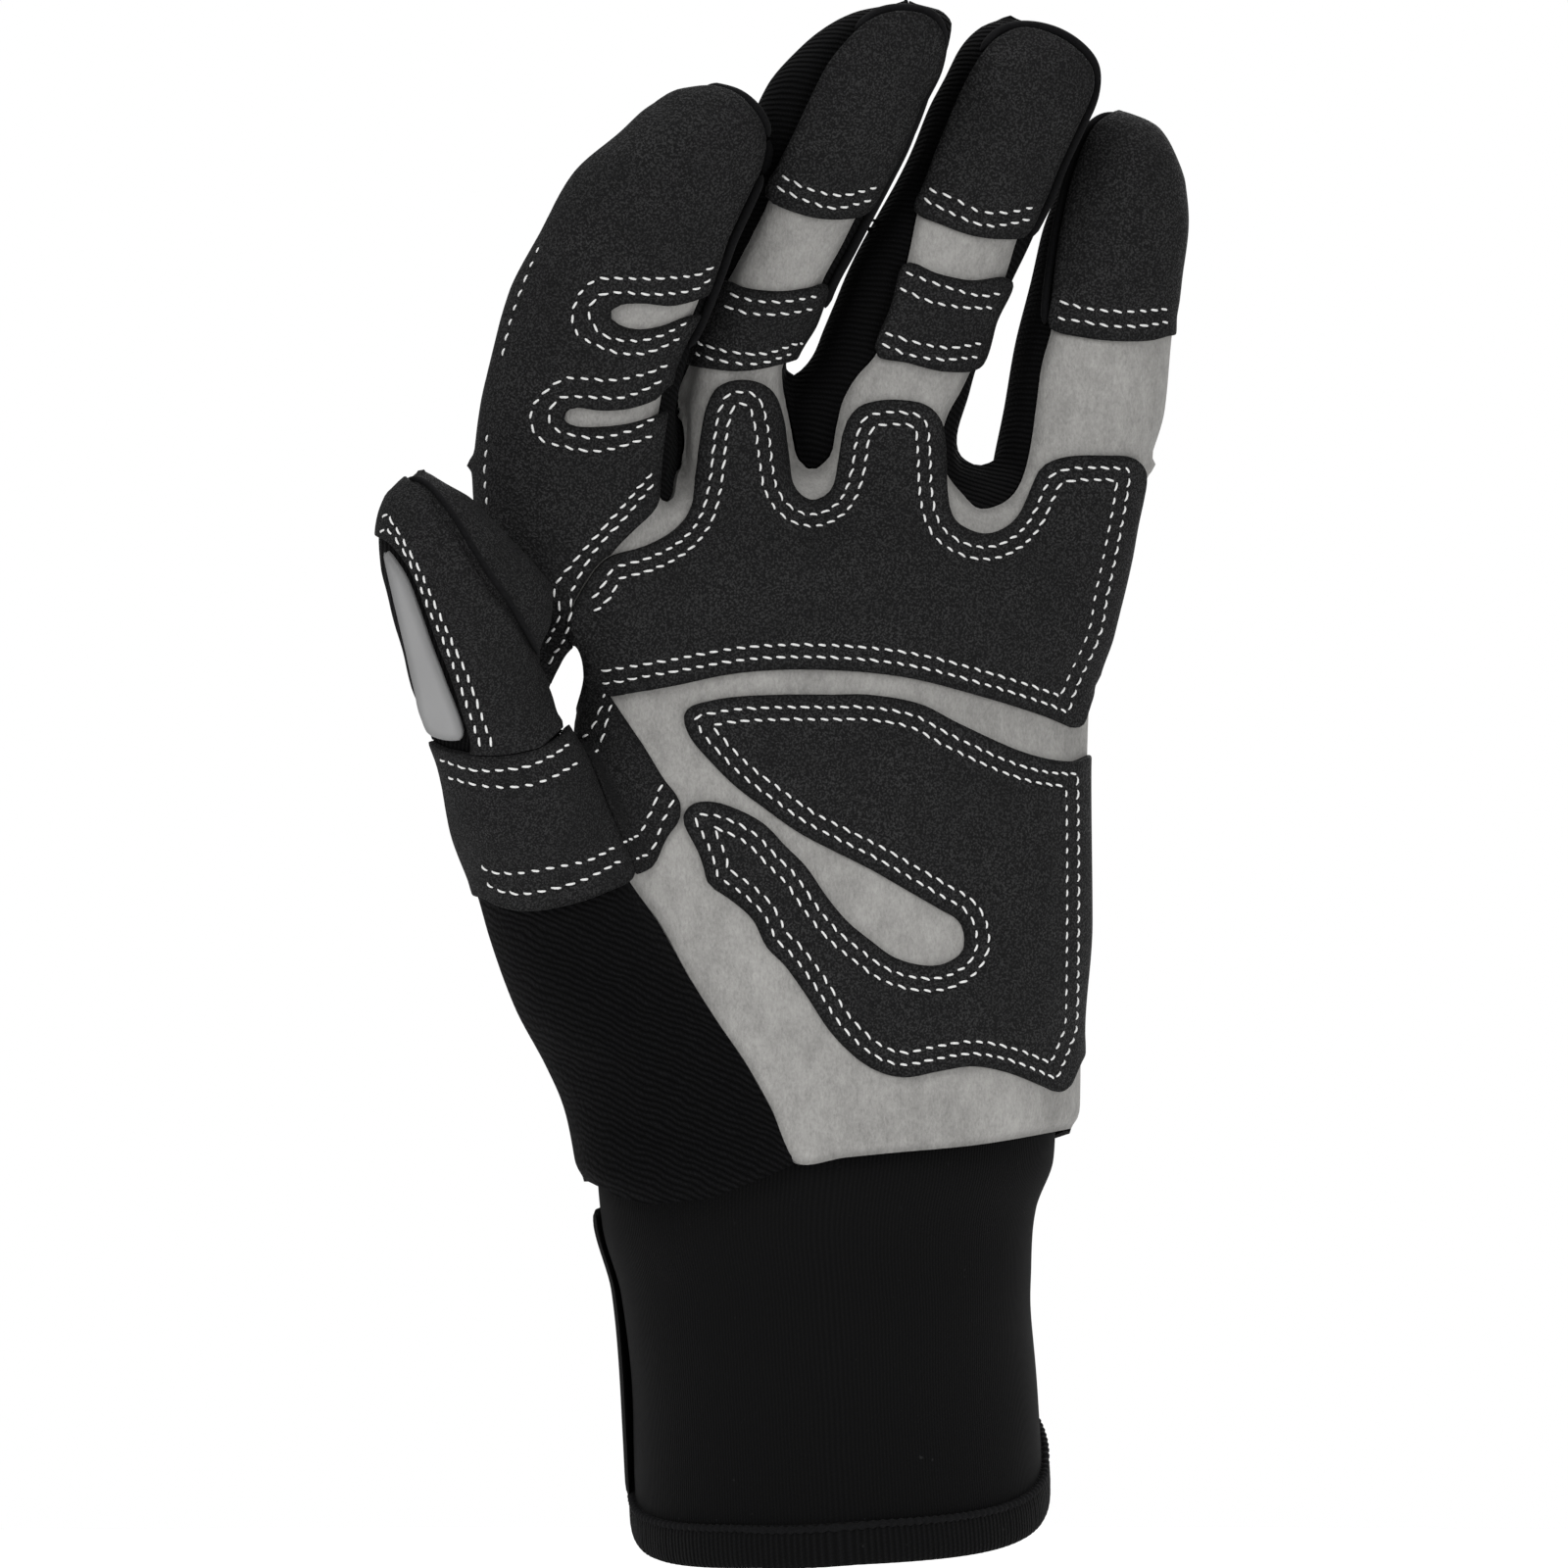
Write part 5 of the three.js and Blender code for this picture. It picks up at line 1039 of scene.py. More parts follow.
@functools.lru_cache(maxsize=None)
def finish(name):
    """The named finish, built once."""
    colours = bpy.context.scene.glove_colours
    if name == "gray_suede":
        made, tree, shader, place = cloth("Gray Suede", 0.95, 0.06, 0.06)
        nap = add(tree, "ShaderNodeGroup", node_tree=nap_group(), sockets={"Position": place})
        tint = scaled(tree, tuple(colours.suede), nap.outputs["Shade"])
        # Painted shade: the suede's colour is darkened near its border, in the seam.
        tree.links.new(seam_shade_painted(tree, tint, 0.3), shader.inputs["Base Color"])
        bumped(tree, shader, nap.outputs["Height"], 0.00022)
    elif name in ("dark_leather", "dark_leather_fine"):
        fine = name == "dark_leather_fine"
        made, tree, shader, place = cloth("Dark Pad Fine" if fine else "Dark Pad", 0.8, 0.12, 0.0)
        grain = add(tree, "ShaderNodeGroup", node_tree=grain_group(),
                    sockets={"Position": place, "Grain": 3000.0 if fine else 2600.0})
        mix = add(tree, "ShaderNodeMix", data_type="RGBA",
                  sockets={0: grain.outputs["Mask"], 6: (*colours.pad, 1), 7: (*colours.fleck, 1)})
        # Painted shade: the pad's colour is darkened near its border, in the seam.
        tree.links.new(seam_shade_painted(tree, mix.outputs[2], 0.3), shader.inputs["Base Color"])
        rough = maths(tree, "MULTIPLY_ADD", grain.outputs["Mask"], -0.22, 0.86)
        tree.links.new(rough, shader.inputs["Roughness"])
        bumped(tree, shader, grain.outputs["Height"], 0.00035)
    elif name in ("black_rib", "black_stretch"):
        rib = name == "black_rib"
        made, tree, shader, place = cloth("Black Rib" if rib else "Black Stretch", 0.9, 0.05, 0.01)
        parts = add(tree, "ShaderNodeSeparateXYZ", sockets={0: place}).outputs
        lean = maths(tree, "MULTIPLY_ADD", parts["X"], 0.22 if rib else 0.0, parts["Z"])
        lean = maths(tree, "MULTIPLY_ADD", parts["Y"], 0.3 if rib else 0.0, lean)
        ribs = add(tree, "ShaderNodeGroup", node_tree=rib_group(),
                   sockets={"Along": maths(tree, "MULTIPLY", lean, 1000.0) if rib else
                            maths(tree, "MULTIPLY", parts["X"], 1000.0),
                            "Across": maths(tree, "MULTIPLY", parts["X"] if rib else parts["Z"], 1000.0),
                            "Position": place, "Rib": 1.0 if rib else 0.7, "Loop": 0.55 if rib else 0.6,
                            "Wander": 0.8})
        factor = maths(tree, "MULTIPLY_ADD", ribs.outputs["Mask"], 1.6 if rib else 1.0, 0.35)
        tree.links.new(scaled(tree, tuple(colours.cloth), factor), shader.inputs["Base Color"])
        bumped(tree, shader, ribs.outputs["Height"], 0.00045 if rib else 0.0002)
    elif name == "black_knit":
        made, tree, shader, place = cloth("Black Loop Knit", 0.95, 0.05, 0.01)
        parts = add(tree, "ShaderNodeSeparateXYZ", sockets={0: place}).outputs
        slope = maths(tree, "MULTIPLY_ADD", parts["X"], 0.45, parts["Z"])
        ribs = add(tree, "ShaderNodeGroup", node_tree=rib_group(),
                   sockets={"Along": maths(tree, "MULTIPLY", slope, 1000.0),
                            "Across": maths(tree, "MULTIPLY", parts["X"], 1000.0), "Position": place,
                            "Rib": 1.15, "Loop": 0.8, "Wander": 2.4})
        loops = noise(tree, place, 900.0, 3.0, 0.7)
        factor = maths(tree, "MULTIPLY_ADD", maths(tree, "MULTIPLY", ribs.outputs["Mask"], loops), 3.2, 0.35)
        tree.links.new(scaled(tree, tuple(colours.cloth), factor), shader.inputs["Base Color"])
        height = maths(tree, "ADD", maths(tree, "MULTIPLY", ribs.outputs["Height"], 0.6), loops)
        bumped(tree, shader, height, 0.0004)
    elif name in ("cuff_fabric", "hem_rib"):
        hem = name == "hem_rib"
        made, tree, shader, place = cloth("Hem Rib" if hem else "Cuff Jersey", 0.85, 0.06, 0.015)
        uv = add(tree, "ShaderNodeUVMap", uv_map="flat").outputs[0]
        parts = add(tree, "ShaderNodeSeparateXYZ", sockets={0: uv}).outputs
        ribs = add(tree, "ShaderNodeGroup", node_tree=rib_group(),
                   sockets={"Along": parts["X"], "Across": parts["Y"], "Position": place,
                            "Rib": 0.9 if hem else 0.55, "Loop": 0.7, "Wander": 0.3})
        dust = noise(tree, place, 620.0, 2.0)
        dust = add(tree, "ShaderNodeMapRange",
                   sockets={"Value": dust, "From Min": 0.74, "From Max": 0.8}).outputs[0]
        factor = maths(tree, "MULTIPLY_ADD", ribs.outputs["Mask"], 1.2 if hem else 0.5, 0.7)
        factor = maths(tree, "MULTIPLY_ADD", dust, 4.0, factor)
        tree.links.new(scaled(tree, tuple(colours.cuff), factor), shader.inputs["Base Color"])
        bumped(tree, shader, ribs.outputs["Height"], 0.0003 if hem else 0.00009)
    elif name == "gray_insert":
        made, tree, shader, place = cloth("Smooth Insert", 0.5, 0.3, 0.0)
        nap = add(tree, "ShaderNodeGroup", node_tree=nap_group(),
                  sockets={"Position": place, "Fibre": 2600.0, "Patches": 60.0, "Depth": 0.05})
        tint = scaled(tree, tuple(colours.insert), nap.outputs["Shade"])
        # Painted shade: the insert's colour is darkened near its border, in the seam.
        tree.links.new(seam_shade_painted(tree, tint, 0.35), shader.inputs["Base Color"])
        bumped(tree, shader, nap.outputs["Height"], 0.00003)
    elif name == "white_thread":
        made, tree, shader, place = cloth("White Thread", 0.7, 0.2, 0.1)
        twist = noise(tree, place, 2400.0, 2.0)
        factor = maths(tree, "MULTIPLY_ADD", twist, 0.3, 0.82)
        tree.links.new(scaled(tree, tuple(colours.thread), factor), shader.inputs["Base Color"])
        bumped(tree, shader, twist, 0.0001)
    elif name == "black_thread":
        made, tree, shader, place = cloth("Black Thread", 0.85, 0.08, 0.02)
        twist = noise(tree, place, 2000.0, 2.0)
        factor = maths(tree, "MULTIPLY_ADD", twist, 2.4, 0.6)
        tree.links.new(scaled(tree, tuple(colours.cloth), factor), shader.inputs["Base Color"])
        bumped(tree, shader, twist, 0.0001)
    else:
        raise ValueError(name)
    return made


# Meshes

def built(name, points, faces, look, slot=None, replaces=(), values=None, uv=None, sharp=50):
    """Object from whole arrays of points in millimetres and of faces with three or four corners."""
    mesh = bpy.data.meshes.new(name)
    faces = np.asarray(faces)
    mesh.vertices.add(len(points))
    mesh.vertices.foreach_set("co", (np.asarray(points) * 0.001).astype(np.float32).ravel())
    mesh.loops.add(faces.size)
    mesh.loops.foreach_set("vertex_index", faces.astype(np.int32).ravel())
    mesh.polygons.add(len(faces))
    mesh.polygons.foreach_set("loop_start", np.arange(0, faces.size, faces.shape[1], dtype=np.int32))
    mesh.update(calc_edges=True)
    mesh.validate()
    mesh.polygons.foreach_set("use_smooth", np.ones(len(mesh.polygons), bool))
    mesh.set_sharp_from_angle(angle=math.radians(sharp))
    for key, value in (values or {}).items():
        mesh.attributes.new(key, "FLOAT", "POINT").data.foreach_set("value", value.astype(np.float32))
    if uv is not None:
        layer = mesh.uv_layers.new(name="flat")
        layer.data.foreach_set("uv", uv[faces.ravel()].astype(np.float32).ravel())
    made = bpy.data.objects.new(name, mesh)
    bpy.context.scene.collection.objects.link(made)
    made.data.materials.append(finish(look))
    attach(made, "root")
    if replaces:
        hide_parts(*replaces)
    return made


def dipped(border, dip, reach=1.5):
    """How far cloth is pulled in near its border: a bell curve of the distance to it."""
    return -dip * np.exp(-((np.maximum(border, 0) / reach) ** 2))


def panel(name, sheet, look, slot, replaces, wall=SHELL_WALL, lift=0.0, dip=None):
    """A panel of the body's cloth: walled inwards from the surface, its border pulled in to the seam."""
    sizes = bpy.context.scene.glove_sizes
    sheet = sheet.scored("border", 0.6, 1.5)
    border = sheet.values["border"]
    outer = lift + dipped(border, sizes.seam_dip * 1000 if dip is None else dip)
    points, faces, values = walled(sheet, outer - wall, outer)
    return built(name, points, faces, look, slot, replaces, values)


def pad(name, sheet, look="dark_leather", replaces=None, swell=0.0, slot="dark_leather", lift=LAYER_GAP):
    """A pad sewn on the body: its edge is rounded by a quarter circle, a shallow trough runs along its stitch
    rows, and foam lifts the middle."""
    sizes = bpy.context.scene.glove_sizes
    wall, edge = sizes.pad_wall * 1000, PAD_EDGE
    sheet = sheet.scored("border", PAD_EDGE / 3, PAD_EDGE, 1.2, 3.2, 5.6)
    border = np.maximum(sheet.values["border"], 0)
    round_edge = edge * (1 - np.sqrt(1 - (1 - np.clip(border / edge, 0, 1)) ** 2 + 1e-9))
    trough = TROUGH_DEPTH * np.exp(-(((border - TROUGH_MIDDLE) / TROUGH_HALF) ** 2))
    s = np.clip((border - SWELL_START) / SWELL_EASE, 0, 1)
    outer = lift + wall - round_edge - trough + swell * s * s * (3 - 2 * s)
    points, faces, values = walled(sheet, 0.02, outer * thinned(sheet.values["side"]))
    return built(name, points, faces, look, slot, replaces or (name,), values)


# Stitches

def stitches(name, lines):
    """Short bowed capsules of thread along drawn lines: each lies on the cloth, its ends sunk into it, and is
    turned a little across its row, as lockstitch lies."""
    sizes = bpy.context.scene.glove_sizes
    pitch, length, thick = sizes.stitch_pitch * 1000, sizes.stitch_length * 1000, sizes.thread * 1000
    lift = LAYER_GAP + sizes.pad_wall * 1000 - STITCH_SINK
    centres, aheads, outs = [], [], []
    for line in lines:
        if len(line) < 3:
            continue
        p, n, hit = struck(line[:, 0], line[:, 1], lift, pad=True)
        far = np.linalg.norm(np.diff(p, axis=0), axis=1)
        # A row is broken where it misses the body or jumps to another digit.
        breaks = np.flatnonzero(~hit[1:] | ~hit[:-1] | (far > 2.6)) + 1
        for part in np.split(np.arange(len(p)), breaks):
            part = part[hit[part]]
            if len(part) < 4:
                continue
            run = np.concatenate([[0], np.cumsum(np.linalg.norm(np.diff(p[part], axis=0), axis=1))])
            count = int(run[-1] / pitch)
            if count < 1:
                continue
            at = (np.arange(count) + 0.5) * run[-1] / count
            place = lambda v, t: np.stack([np.interp(t, run, v[part][:, k]) for k in range(3)], axis=1)
            centres.append(place(p, at))
            aheads.append(place(p, at + 0.4 * length) - place(p, at - 0.4 * length))
            outs.append(place(n, at))
    c, ahead, out = np.concatenate(centres), np.concatenate(aheads), np.concatenate(outs)
    ahead = unit(ahead)
    side = unit(np.cross(ahead, out))
    out = np.cross(side, ahead)
    # Each stitch is turned by 6 to 16 degrees, and is up to 12% longer or shorter than the set length.
    turn = np.radians(11 + 5 * np.sin(np.arange(len(c)) * 2.39))[:, None]
    ahead, side = ahead * np.cos(turn) + side * np.sin(turn), side * np.cos(turn) - ahead * np.sin(turn)
    u = np.array([-1.0, -0.82, -0.35, 0.35, 0.82, 1.0])
    size = np.array([0.25, 0.75, 1.0, 1.0, 0.75, 0.25]) * thick / 2
    rise = np.array([-0.26, -0.1, 0.1, 0.1, -0.1, -0.26])
    a = np.arange(6) * math.pi / 3
    stretch = (1 + 0.12 * np.sin(np.arange(len(c)) * 1.7))[:, None, None, None]
    grid = (c[:, None, None] + ahead[:, None, None] * (u * length / 2)[None, :, None, None] * stretch
            + side[:, None, None] * (size[:, None] * np.cos(a))[None, :, :, None]
            + out[:, None, None] * (size[:, None] * np.sin(a) * 0.8 + rise[:, None])[None, :, :, None])
    faces = grid_faces(6, 6, wrap_columns=True)
    faces = np.concatenate([faces, [[0, 5, 4, 3], [0, 3, 2, 1], [30, 31, 32, 33], [30, 33, 34, 35]]])
    every = (np.arange(len(c)) * 36)[:, None, None] + faces[None]
    return built(name, grid.reshape(-1, 3), every.reshape(-1, 4)[:, ::-1], "white_thread", sharp=180)


def inset(outline, distance, skip=()):
    """Lines at a distance inside a drawn outline: its points moved along their normals, less those that come
    nearer to the outline than that, or that lie in a skipped box of columns and rows."""
    loop = flowing(outline)
    test = within(outline)
    ahead = np.gradient(loop, axis=0)
    ahead[0] = ahead[-1] = loop[1] - loop[-2]
    ahead = unit(ahead)
    side = np.stack([-ahead[:, 1], ahead[:, 0]], axis=1)
    first = loop + side * distance
    if np.median(test(first[:, 0], 0, first[:, 1])) < 0:
        first = loop - side * distance
    good = test(first[:, 0], 0, first[:, 1]) > distance - 0.12
    for left, top, right, bottom in skip:
        x, z = first.T
        good &= ~((x > across(left)) & (x < across(right)) & (z < upward(top)) & (z > upward(bottom)))
    if good.all():
        return [first]
    start = np.flatnonzero(~good)[0]
    order = np.roll(np.arange(len(first)), -start)
    first, good = first[order], good[order]
    breaks = np.flatnonzero(good[1:] != good[:-1]) + 1
    return [eased(part) for part in np.split(first, breaks) if test_part(part, good, first)]


def test_part(part, good, first):
    """Whether a run of inset points is long enough and lies where the points are good."""
    index = np.flatnonzero((first == part[0]).all(axis=1))[0]
    return bool(good[index]) and len(part) > 8


def eased(line):
    """Line with its kinks evened out by averaging neighbours."""
    made = line.copy()
    for _ in range(4):
        made[1:-1] = (made[:-2] + 2 * made[1:-1] + made[2:]) / 4
    return spaced(made, LINE_STEP)


def drawn(*lines):
    """Open drawn lines as evenly spaced x, z pairs."""
    return [flowing(line, closed=False) for line in lines]


def double(outline, skip=()):
    """The two stitch rows inside a pad's outline."""
    sizes = bpy.context.scene.glove_sizes
    return inset(outline, sizes.first_row * 1000, skip) + inset(outline, sizes.second_row * 1000, skip)


def piping(line, radius):
    """Rolled cloth edge: a round profile carried along a line laid on the body, thinner at its ends, and
    broken where the line jumps to another digit."""
    p, n, hit = struck(line[:, 0], line[:, 1], ROLLED_HEIGHT)
    p, n = p[hit], n[hit]
    far = np.linalg.norm(np.diff(p, axis=0), axis=1)
    jump = (np.abs(np.diff(p[:, 1])) > ROLLED_JUMP) | (far > ROLLED_GAP)
    runs = np.split(np.arange(len(p)), np.flatnonzero(jump) + 1)
    return [rolled(p[k], n[k], radius) for k in runs if len(k) > 12]


def rolled(p, n, radius):
    """The rolled edge along one run of points with their normals, both evened out first."""
    for _ in range(6):
        p[1:-1] = (p[:-2] + 2 * p[1:-1] + p[2:]) / 4
        n[1:-1] = (n[:-2] + 2 * n[1:-1] + n[2:]) / 4
    a = np.arange(12) * math.pi / 6
    profile = np.stack([np.cos(a), np.sin(a)], axis=1) * radius
    points, faces = swept(p, n, profile)
    points = points.reshape(len(p), 12, 3)
    end = np.clip(np.minimum(np.arange(len(p)), np.arange(len(p))[::-1]) / 4, 0.02, 1)[:, None, None]
    points = p[:, None] + (points - p[:, None]) * np.sqrt(end)
    return points.reshape(-1, 3), faces


def joined(parts):
    """Several meshes as one pair of arrays."""
    points, faces, start = [], [], 0
    for p, f in parts:
        points.append(p)
        faces.append(f + start)
        start += len(p)
    return np.concatenate(points), np.concatenate(faces)


# Operators

class GLOVE_OT_palm(bpy.types.Operator):
    """Suede palm with the fronts of the four fingers"""

    bl_idname = "glove.palm"
    bl_label = "Suede Palm"

    def execute(self, context):
        front = body()["front"]
        own = np.minimum(suede_border(front), front.at(palm_side))
        border = own - SEAM_GAP
        sheet = Sheet(front.points, front.normals, front.faces, {"border": border}).kept(border).largest()
        panel("palm_panel_cloth", sheet, "gray_suede", "gray_suede", ("palm_panel",))
        return {"FINISHED"}


class GLOVE_OT_strips(bpy.types.Operator):
    """Ribbed side strips between the fingers, each the front's cloth outside the palm and inside its strip"""

    bl_idname = "glove.strips"
    bl_label = "Side Strips"

    def execute(self, context):
        front = body()["front"]
        own = np.minimum(suede_border(front), front.at(palm_side))
        border = -own - SEAM_GAP
        outside = Sheet(front.points, front.normals, front.faces, {"border": border}).kept(border)
        for name, outline in STRIPS.items():
            region = outside.at(within(outline, straight=True))
            sheet = outside.kept(region).largest()
            panel(name + "_cloth", sheet, "black_rib", "black_rib", (name,), lift=-0.15)
        return {"FINISHED"}


class GLOVE_OT_back(bpy.types.Operator):
    """Stretch cloth of the back and the finger backs"""

    bl_idname = "glove.back"
    bl_label = "Back"

    def execute(self, context):
        sheet = body()["back"]
        sheet = Sheet(sheet.points, sheet.normals, sheet.faces, {"border": -sheet.at(palm_side)})
        sheet = sheet.kept(sheet.at(within(BACK_EDGE, straight=True))).largest()
        panel("back_panel_cloth", sheet, "black_stretch", "black_stretch", ("back_panel",))
        return {"FINISHED"}


class GLOVE_OT_thumb(bpy.types.Operator):
    """Knit at the thumb's base, the two halves and back of the thumb, its pad and its smooth insert"""

    bl_idname = "glove.thumb"
    bl_label = "Thumb"

    def execute(self, context):
        parts = body()
        knit = trimmed(parts["front"], within(KNIT_EDGE, straight=True))
        panel("thumb_knit_cloth", knit, "black_knit", "black_knit", ("thumb_knit_panel",))
        seam = within(THUMB_INNER_EDGE)
        inner = trimmed(parts["thumb_front"], seam)
        panel("thumb_inner_cloth", inner, "dark_leather_fine", "dark_leather", ("thumb_inner",), lift=0.1,
              dip=0.3)
        outer = trimmed(parts["thumb_front"], lambda x, y, z: -seam(x, y, z))
        panel("thumb_outer_cloth", outer, "black_stretch", "black_rib", ("thumb_outer",))
        back = parts["thumb_back"]
        back = Sheet(back.points, back.normals, back.faces, {"border": -back.at(palm_side)}).largest()
        panel("thumb_back_cloth", back, "black_stretch", "black_stretch", ("thumb_back",))
        patch = trimmed(parts["thumb_front"], within(THUMB_PAD_EDGE))
        pad("thumb_pad", patch, "dark_leather_fine", ("thumb_patch",), swell=0.3)
        insert = trimmed(parts["thumb_front"], within(OUTLINES["thumb_insert"]))
        pad("thumb_smooth_insert", insert, "gray_insert", ("thumb_insert",), slot="gray_insert", lift=0.0)
        return {"FINISHED"}


class GLOVE_OT_bands(bpy.types.Operator):
    """Dark band over the thumb's base, in two halves that meet at the seam"""

    bl_idname = "glove.bands"
    bl_label = "Thumb Bands"

    def execute(self, context):
        front = body()["front"]
        spread = lambda outline: (lambda test: lambda x, y, z: test(x, y, z) - 0.22)(within(outline))
        pad("saddle_outer_pad", trimmed(front, spread(SADDLE_OUTER)), "dark_leather_fine",
            ("saddle_band_outer",))
        pad("saddle_inner_pad", trimmed(front, spread(SADDLE_INNER)), "dark_leather_fine",
            ("saddle_band_inner",))
        return {"FINISHED"}


class GLOVE_OT_pads(bpy.types.Operator):
    """Dark pads of the palm and of the fingers"""

    bl_idname = "glove.pads"
    bl_label = "Pads"

    def execute(self, context):
        front = body()["front"]
        swell = context.scene.glove_sizes.pad_swell * 1000
        without = lambda key: (lambda test: lambda x, y, z: -test(x, y, z))(within(OUTLINES[key]))
        tests = [index_side, within(OUTLINES["index_patch"]), without("slot_one"), without("slot_two")]
        knuckle = within(OUTLINES["knuckle_patch"])
        tests.append(lambda x, y, z: -knuckle(x, y, z) - 0.3)
        pad("index_pad", trimmed(front, *tests), replaces=("index_patch",))
        for name, outline, lift in (("middle_tip_patch", "middle_tip", 0.3),
                                    ("middle_band", "middle_band", 0.0),
                                    ("ring_tip_patch", "ring_tip", 0.3), ("ring_band", "ring_band", 0.0),
                                    ("little_tip_patch", "little_tip", 0.3),
                                    ("knuckle_patch", "knuckle_patch", swell),
                                    ("heel_patch", "heel_patch", swell)):
            pad(name + "_pad", trimmed(front, within(OUTLINES[outline])), replaces=(name,), swell=lift)
        return {"FINISHED"}


class GLOVE_OT_stitching(bpy.types.Operator):
    """White double rows of stitches on every pad"""

    bl_idname = "glove.stitching"
    bl_label = "Stitching"

    def execute(self, context):
        stitches("knuckle_stitches", double(KNUCKLE_SEEN, skip=((400, 500, 601, 800), (400, 640, 611, 800))))
        stitches("heel_stitches", double(HEEL_SEEN))
        stitches("index_stitches", drawn(*INDEX_ROWS))
        stitches("finger_stitches", drawn(*FINGER_ROWS))
        stitches("thumb_stitches", drawn(*THUMB_ROWS))
        return {"FINISHED"}


class GLOVE_OT_edging(bpy.types.Operator):
    """Rolled black edges round the fingertips and the seams"""

    bl_idname = "glove.edging"
    bl_label = "Rolled Edges"

    def execute(self, context):
        parts = sum((piping(line, radius) for line, radius in zip(drawn(*ROLLED_EDGES), ROLLED_RADII)), [])
        built("rolled_edges", *joined(parts), "black_thread", "black_rib", sharp=180)
        return {"FINISHED"}


class GLOVE_OT_cuff(bpy.types.Operator):
    """Long plain cuff: squared ellipses that lean back towards the hem, with a wall"""

    bl_idname = "glove.cuff"
    bl_label = "Cuff"

    def execute(self, context):
        rows = np.linspace(CUFF_RINGS[0][0], CUFF_RINGS[-1][0], 90)
        angle = np.arange(176) * 2 * math.pi / 176
        r, a = np.meshgrid(rows, angle, indexing="ij")
        # Slack cloth: low waves round the cuff that grow where it bends.
        slack = 0.5 * np.sin((r - 1150) / 23 + 1.3 * np.cos(a)) * np.exp(-(((r - 1265) / 60) ** 2))
        slack = slack * (0.5 + 0.5 * np.sin(a + 2.2))
        waves = 0.35 * np.sin((r - 1150) / 41 + 2 * np.sin(a + 0.4))
        slack = slack + waves * np.sin((r - 1150) / 361 * math.pi)
        outer = cuff_surface(r, a, slack)
        inner = cuff_surface(r, a, slack - CUFF_WALL)[::-1]
        grid = np.concatenate([outer, inner])
        faces = grid_faces(*grid.shape[:2], wrap_rows=True, wrap_columns=True)
        uv = np.stack([np.concatenate([a, a]) * CUFF_RADIUS, np.concatenate([r, r[::-1]]) * PIXEL], axis=-1)
        built("cuff_cloth", grid.reshape(-1, 3), faces[:, ::-1], "cuff_fabric", "cuff_fabric",
              ("cuff_sleeve",), uv=uv.reshape(-1, 2))
        return {"FINISHED"}


class GLOVE_OT_hem(bpy.types.Operator):
    """Folded hem: a flattened roll round the cuff's edge, with its overlocked upper line"""

    bl_idname = "glove.hem"
    bl_label = "Hem"

    def execute(self, context):
        angle = np.arange(264) * 2 * math.pi / 264
        last = CUFF_RINGS[-1][0]
        # Profile of the folded band: distance out from the cuff, rows along it.
        t = np.arange(28) * 2 * math.pi / 28
        out = -CUFF_WALL / 2 + (CUFF_WALL / 2 + 1.25) * np.sign(np.cos(t)) * np.abs(np.cos(t)) ** 0.5
        rows = last - HEM_MIDDLE + HEM_HALF * np.sign(np.sin(t)) * np.abs(np.sin(t)) ** 0.75
        a, o = np.meshgrid(angle, out, indexing="ij")
        r = np.broadcast_to(rows, a.shape)
        grid = cuff_surface(r, a, o + 0.06 * np.sin(a * 120))
        faces = grid_faces(*grid.shape[:2], wrap_rows=True, wrap_columns=True)
        uv = np.stack([a * CUFF_RADIUS, r * PIXEL], axis=-1).reshape(-1, 2)
        built("hem_cloth", grid.reshape(-1, 3), faces, "hem_rib", "black_rib", ("hem_binding",), uv=uv)
        # Overlock: a cord along the top of the hem with a slanted thread every 1.5 mm.
        around = np.arange(1200) * 2 * math.pi / 1200
        line = cuff_surface(np.full(1200, last - OVERLOCK_ROW), around, 0.75)
        line = np.concatenate([line, line[:1]])
        centre = line.mean(axis=0)
        normal = line - centre
        normal[:, 2] *= 0.2
        normal /= np.linalg.norm(normal, axis=1)[:, None]
        p = np.arange(10) * math.pi / 5
        bead = 0.62 + 0.14 * np.sin(np.arange(len(line)) * 2 * math.pi / 8)
        profile = np.stack([np.cos(p), np.sin(p)], axis=1)
        points, faces = swept(line, normal, profile)
        points = line[:, None] + (points.reshape(len(line), 10, 3) - line[:, None]) * bead[:, None, None]
        built("hem_overlock", points.reshape(-1, 3), faces, "black_thread", "black_rib", sharp=180)
        return {"FINISHED"}


class GLOVE_OT_tab(bpy.types.Operator):
    """Flat closure tab on the back of the wrist: a curved plate with rounded edges off the cuff"""

    bl_idname = "glove.tab"
    bl_label = "Wrist Tab"

    def execute(self, context):
        n = TAB_SIDE
        u, v = np.meshgrid(np.linspace(-1, 1, n), np.linspace(-1, 1, n), indexing="ij")
        rows = 1350 + 126 * u
        angle = (0.76 + 0.26 * v) * math.pi
        edge = np.clip(1 - np.maximum(np.abs(u), np.abs(v)) ** 14, 0, 1) ** 0.5
        top = cuff_surface(rows, angle, 1.15 + 0.75 * edge)
        base = cuff_surface(rows, angle, 1.15 - 0.5 * edge)
        quads = grid_faces(n, n)
        # The rim joins the two faces round the border of the grid, side by side.
        ring = np.concatenate([np.arange(0, n - 1), np.arange(n - 1, n * n - 1, n),
                               np.arange(n * n - 1, n * n - n, -1), np.arange(n * n - n, 0, -n)])
        after = np.roll(ring, -1)
        rim = np.stack([after, ring, ring + n * n, after + n * n], axis=1)
        faces = np.concatenate([quads, quads[:, ::-1] + n * n, rim])
        uv = np.stack([angle.ravel() * CUFF_RADIUS, rows.ravel() * PIXEL], axis=-1)
        points = np.concatenate([top.reshape(-1, 3), base.reshape(-1, 3)])
        built("tab_cloth", points, faces, "cuff_fabric", "cuff_fabric", ("wrist_tab",),
              uv=np.concatenate([uv, uv]))
        return {"FINISHED"}


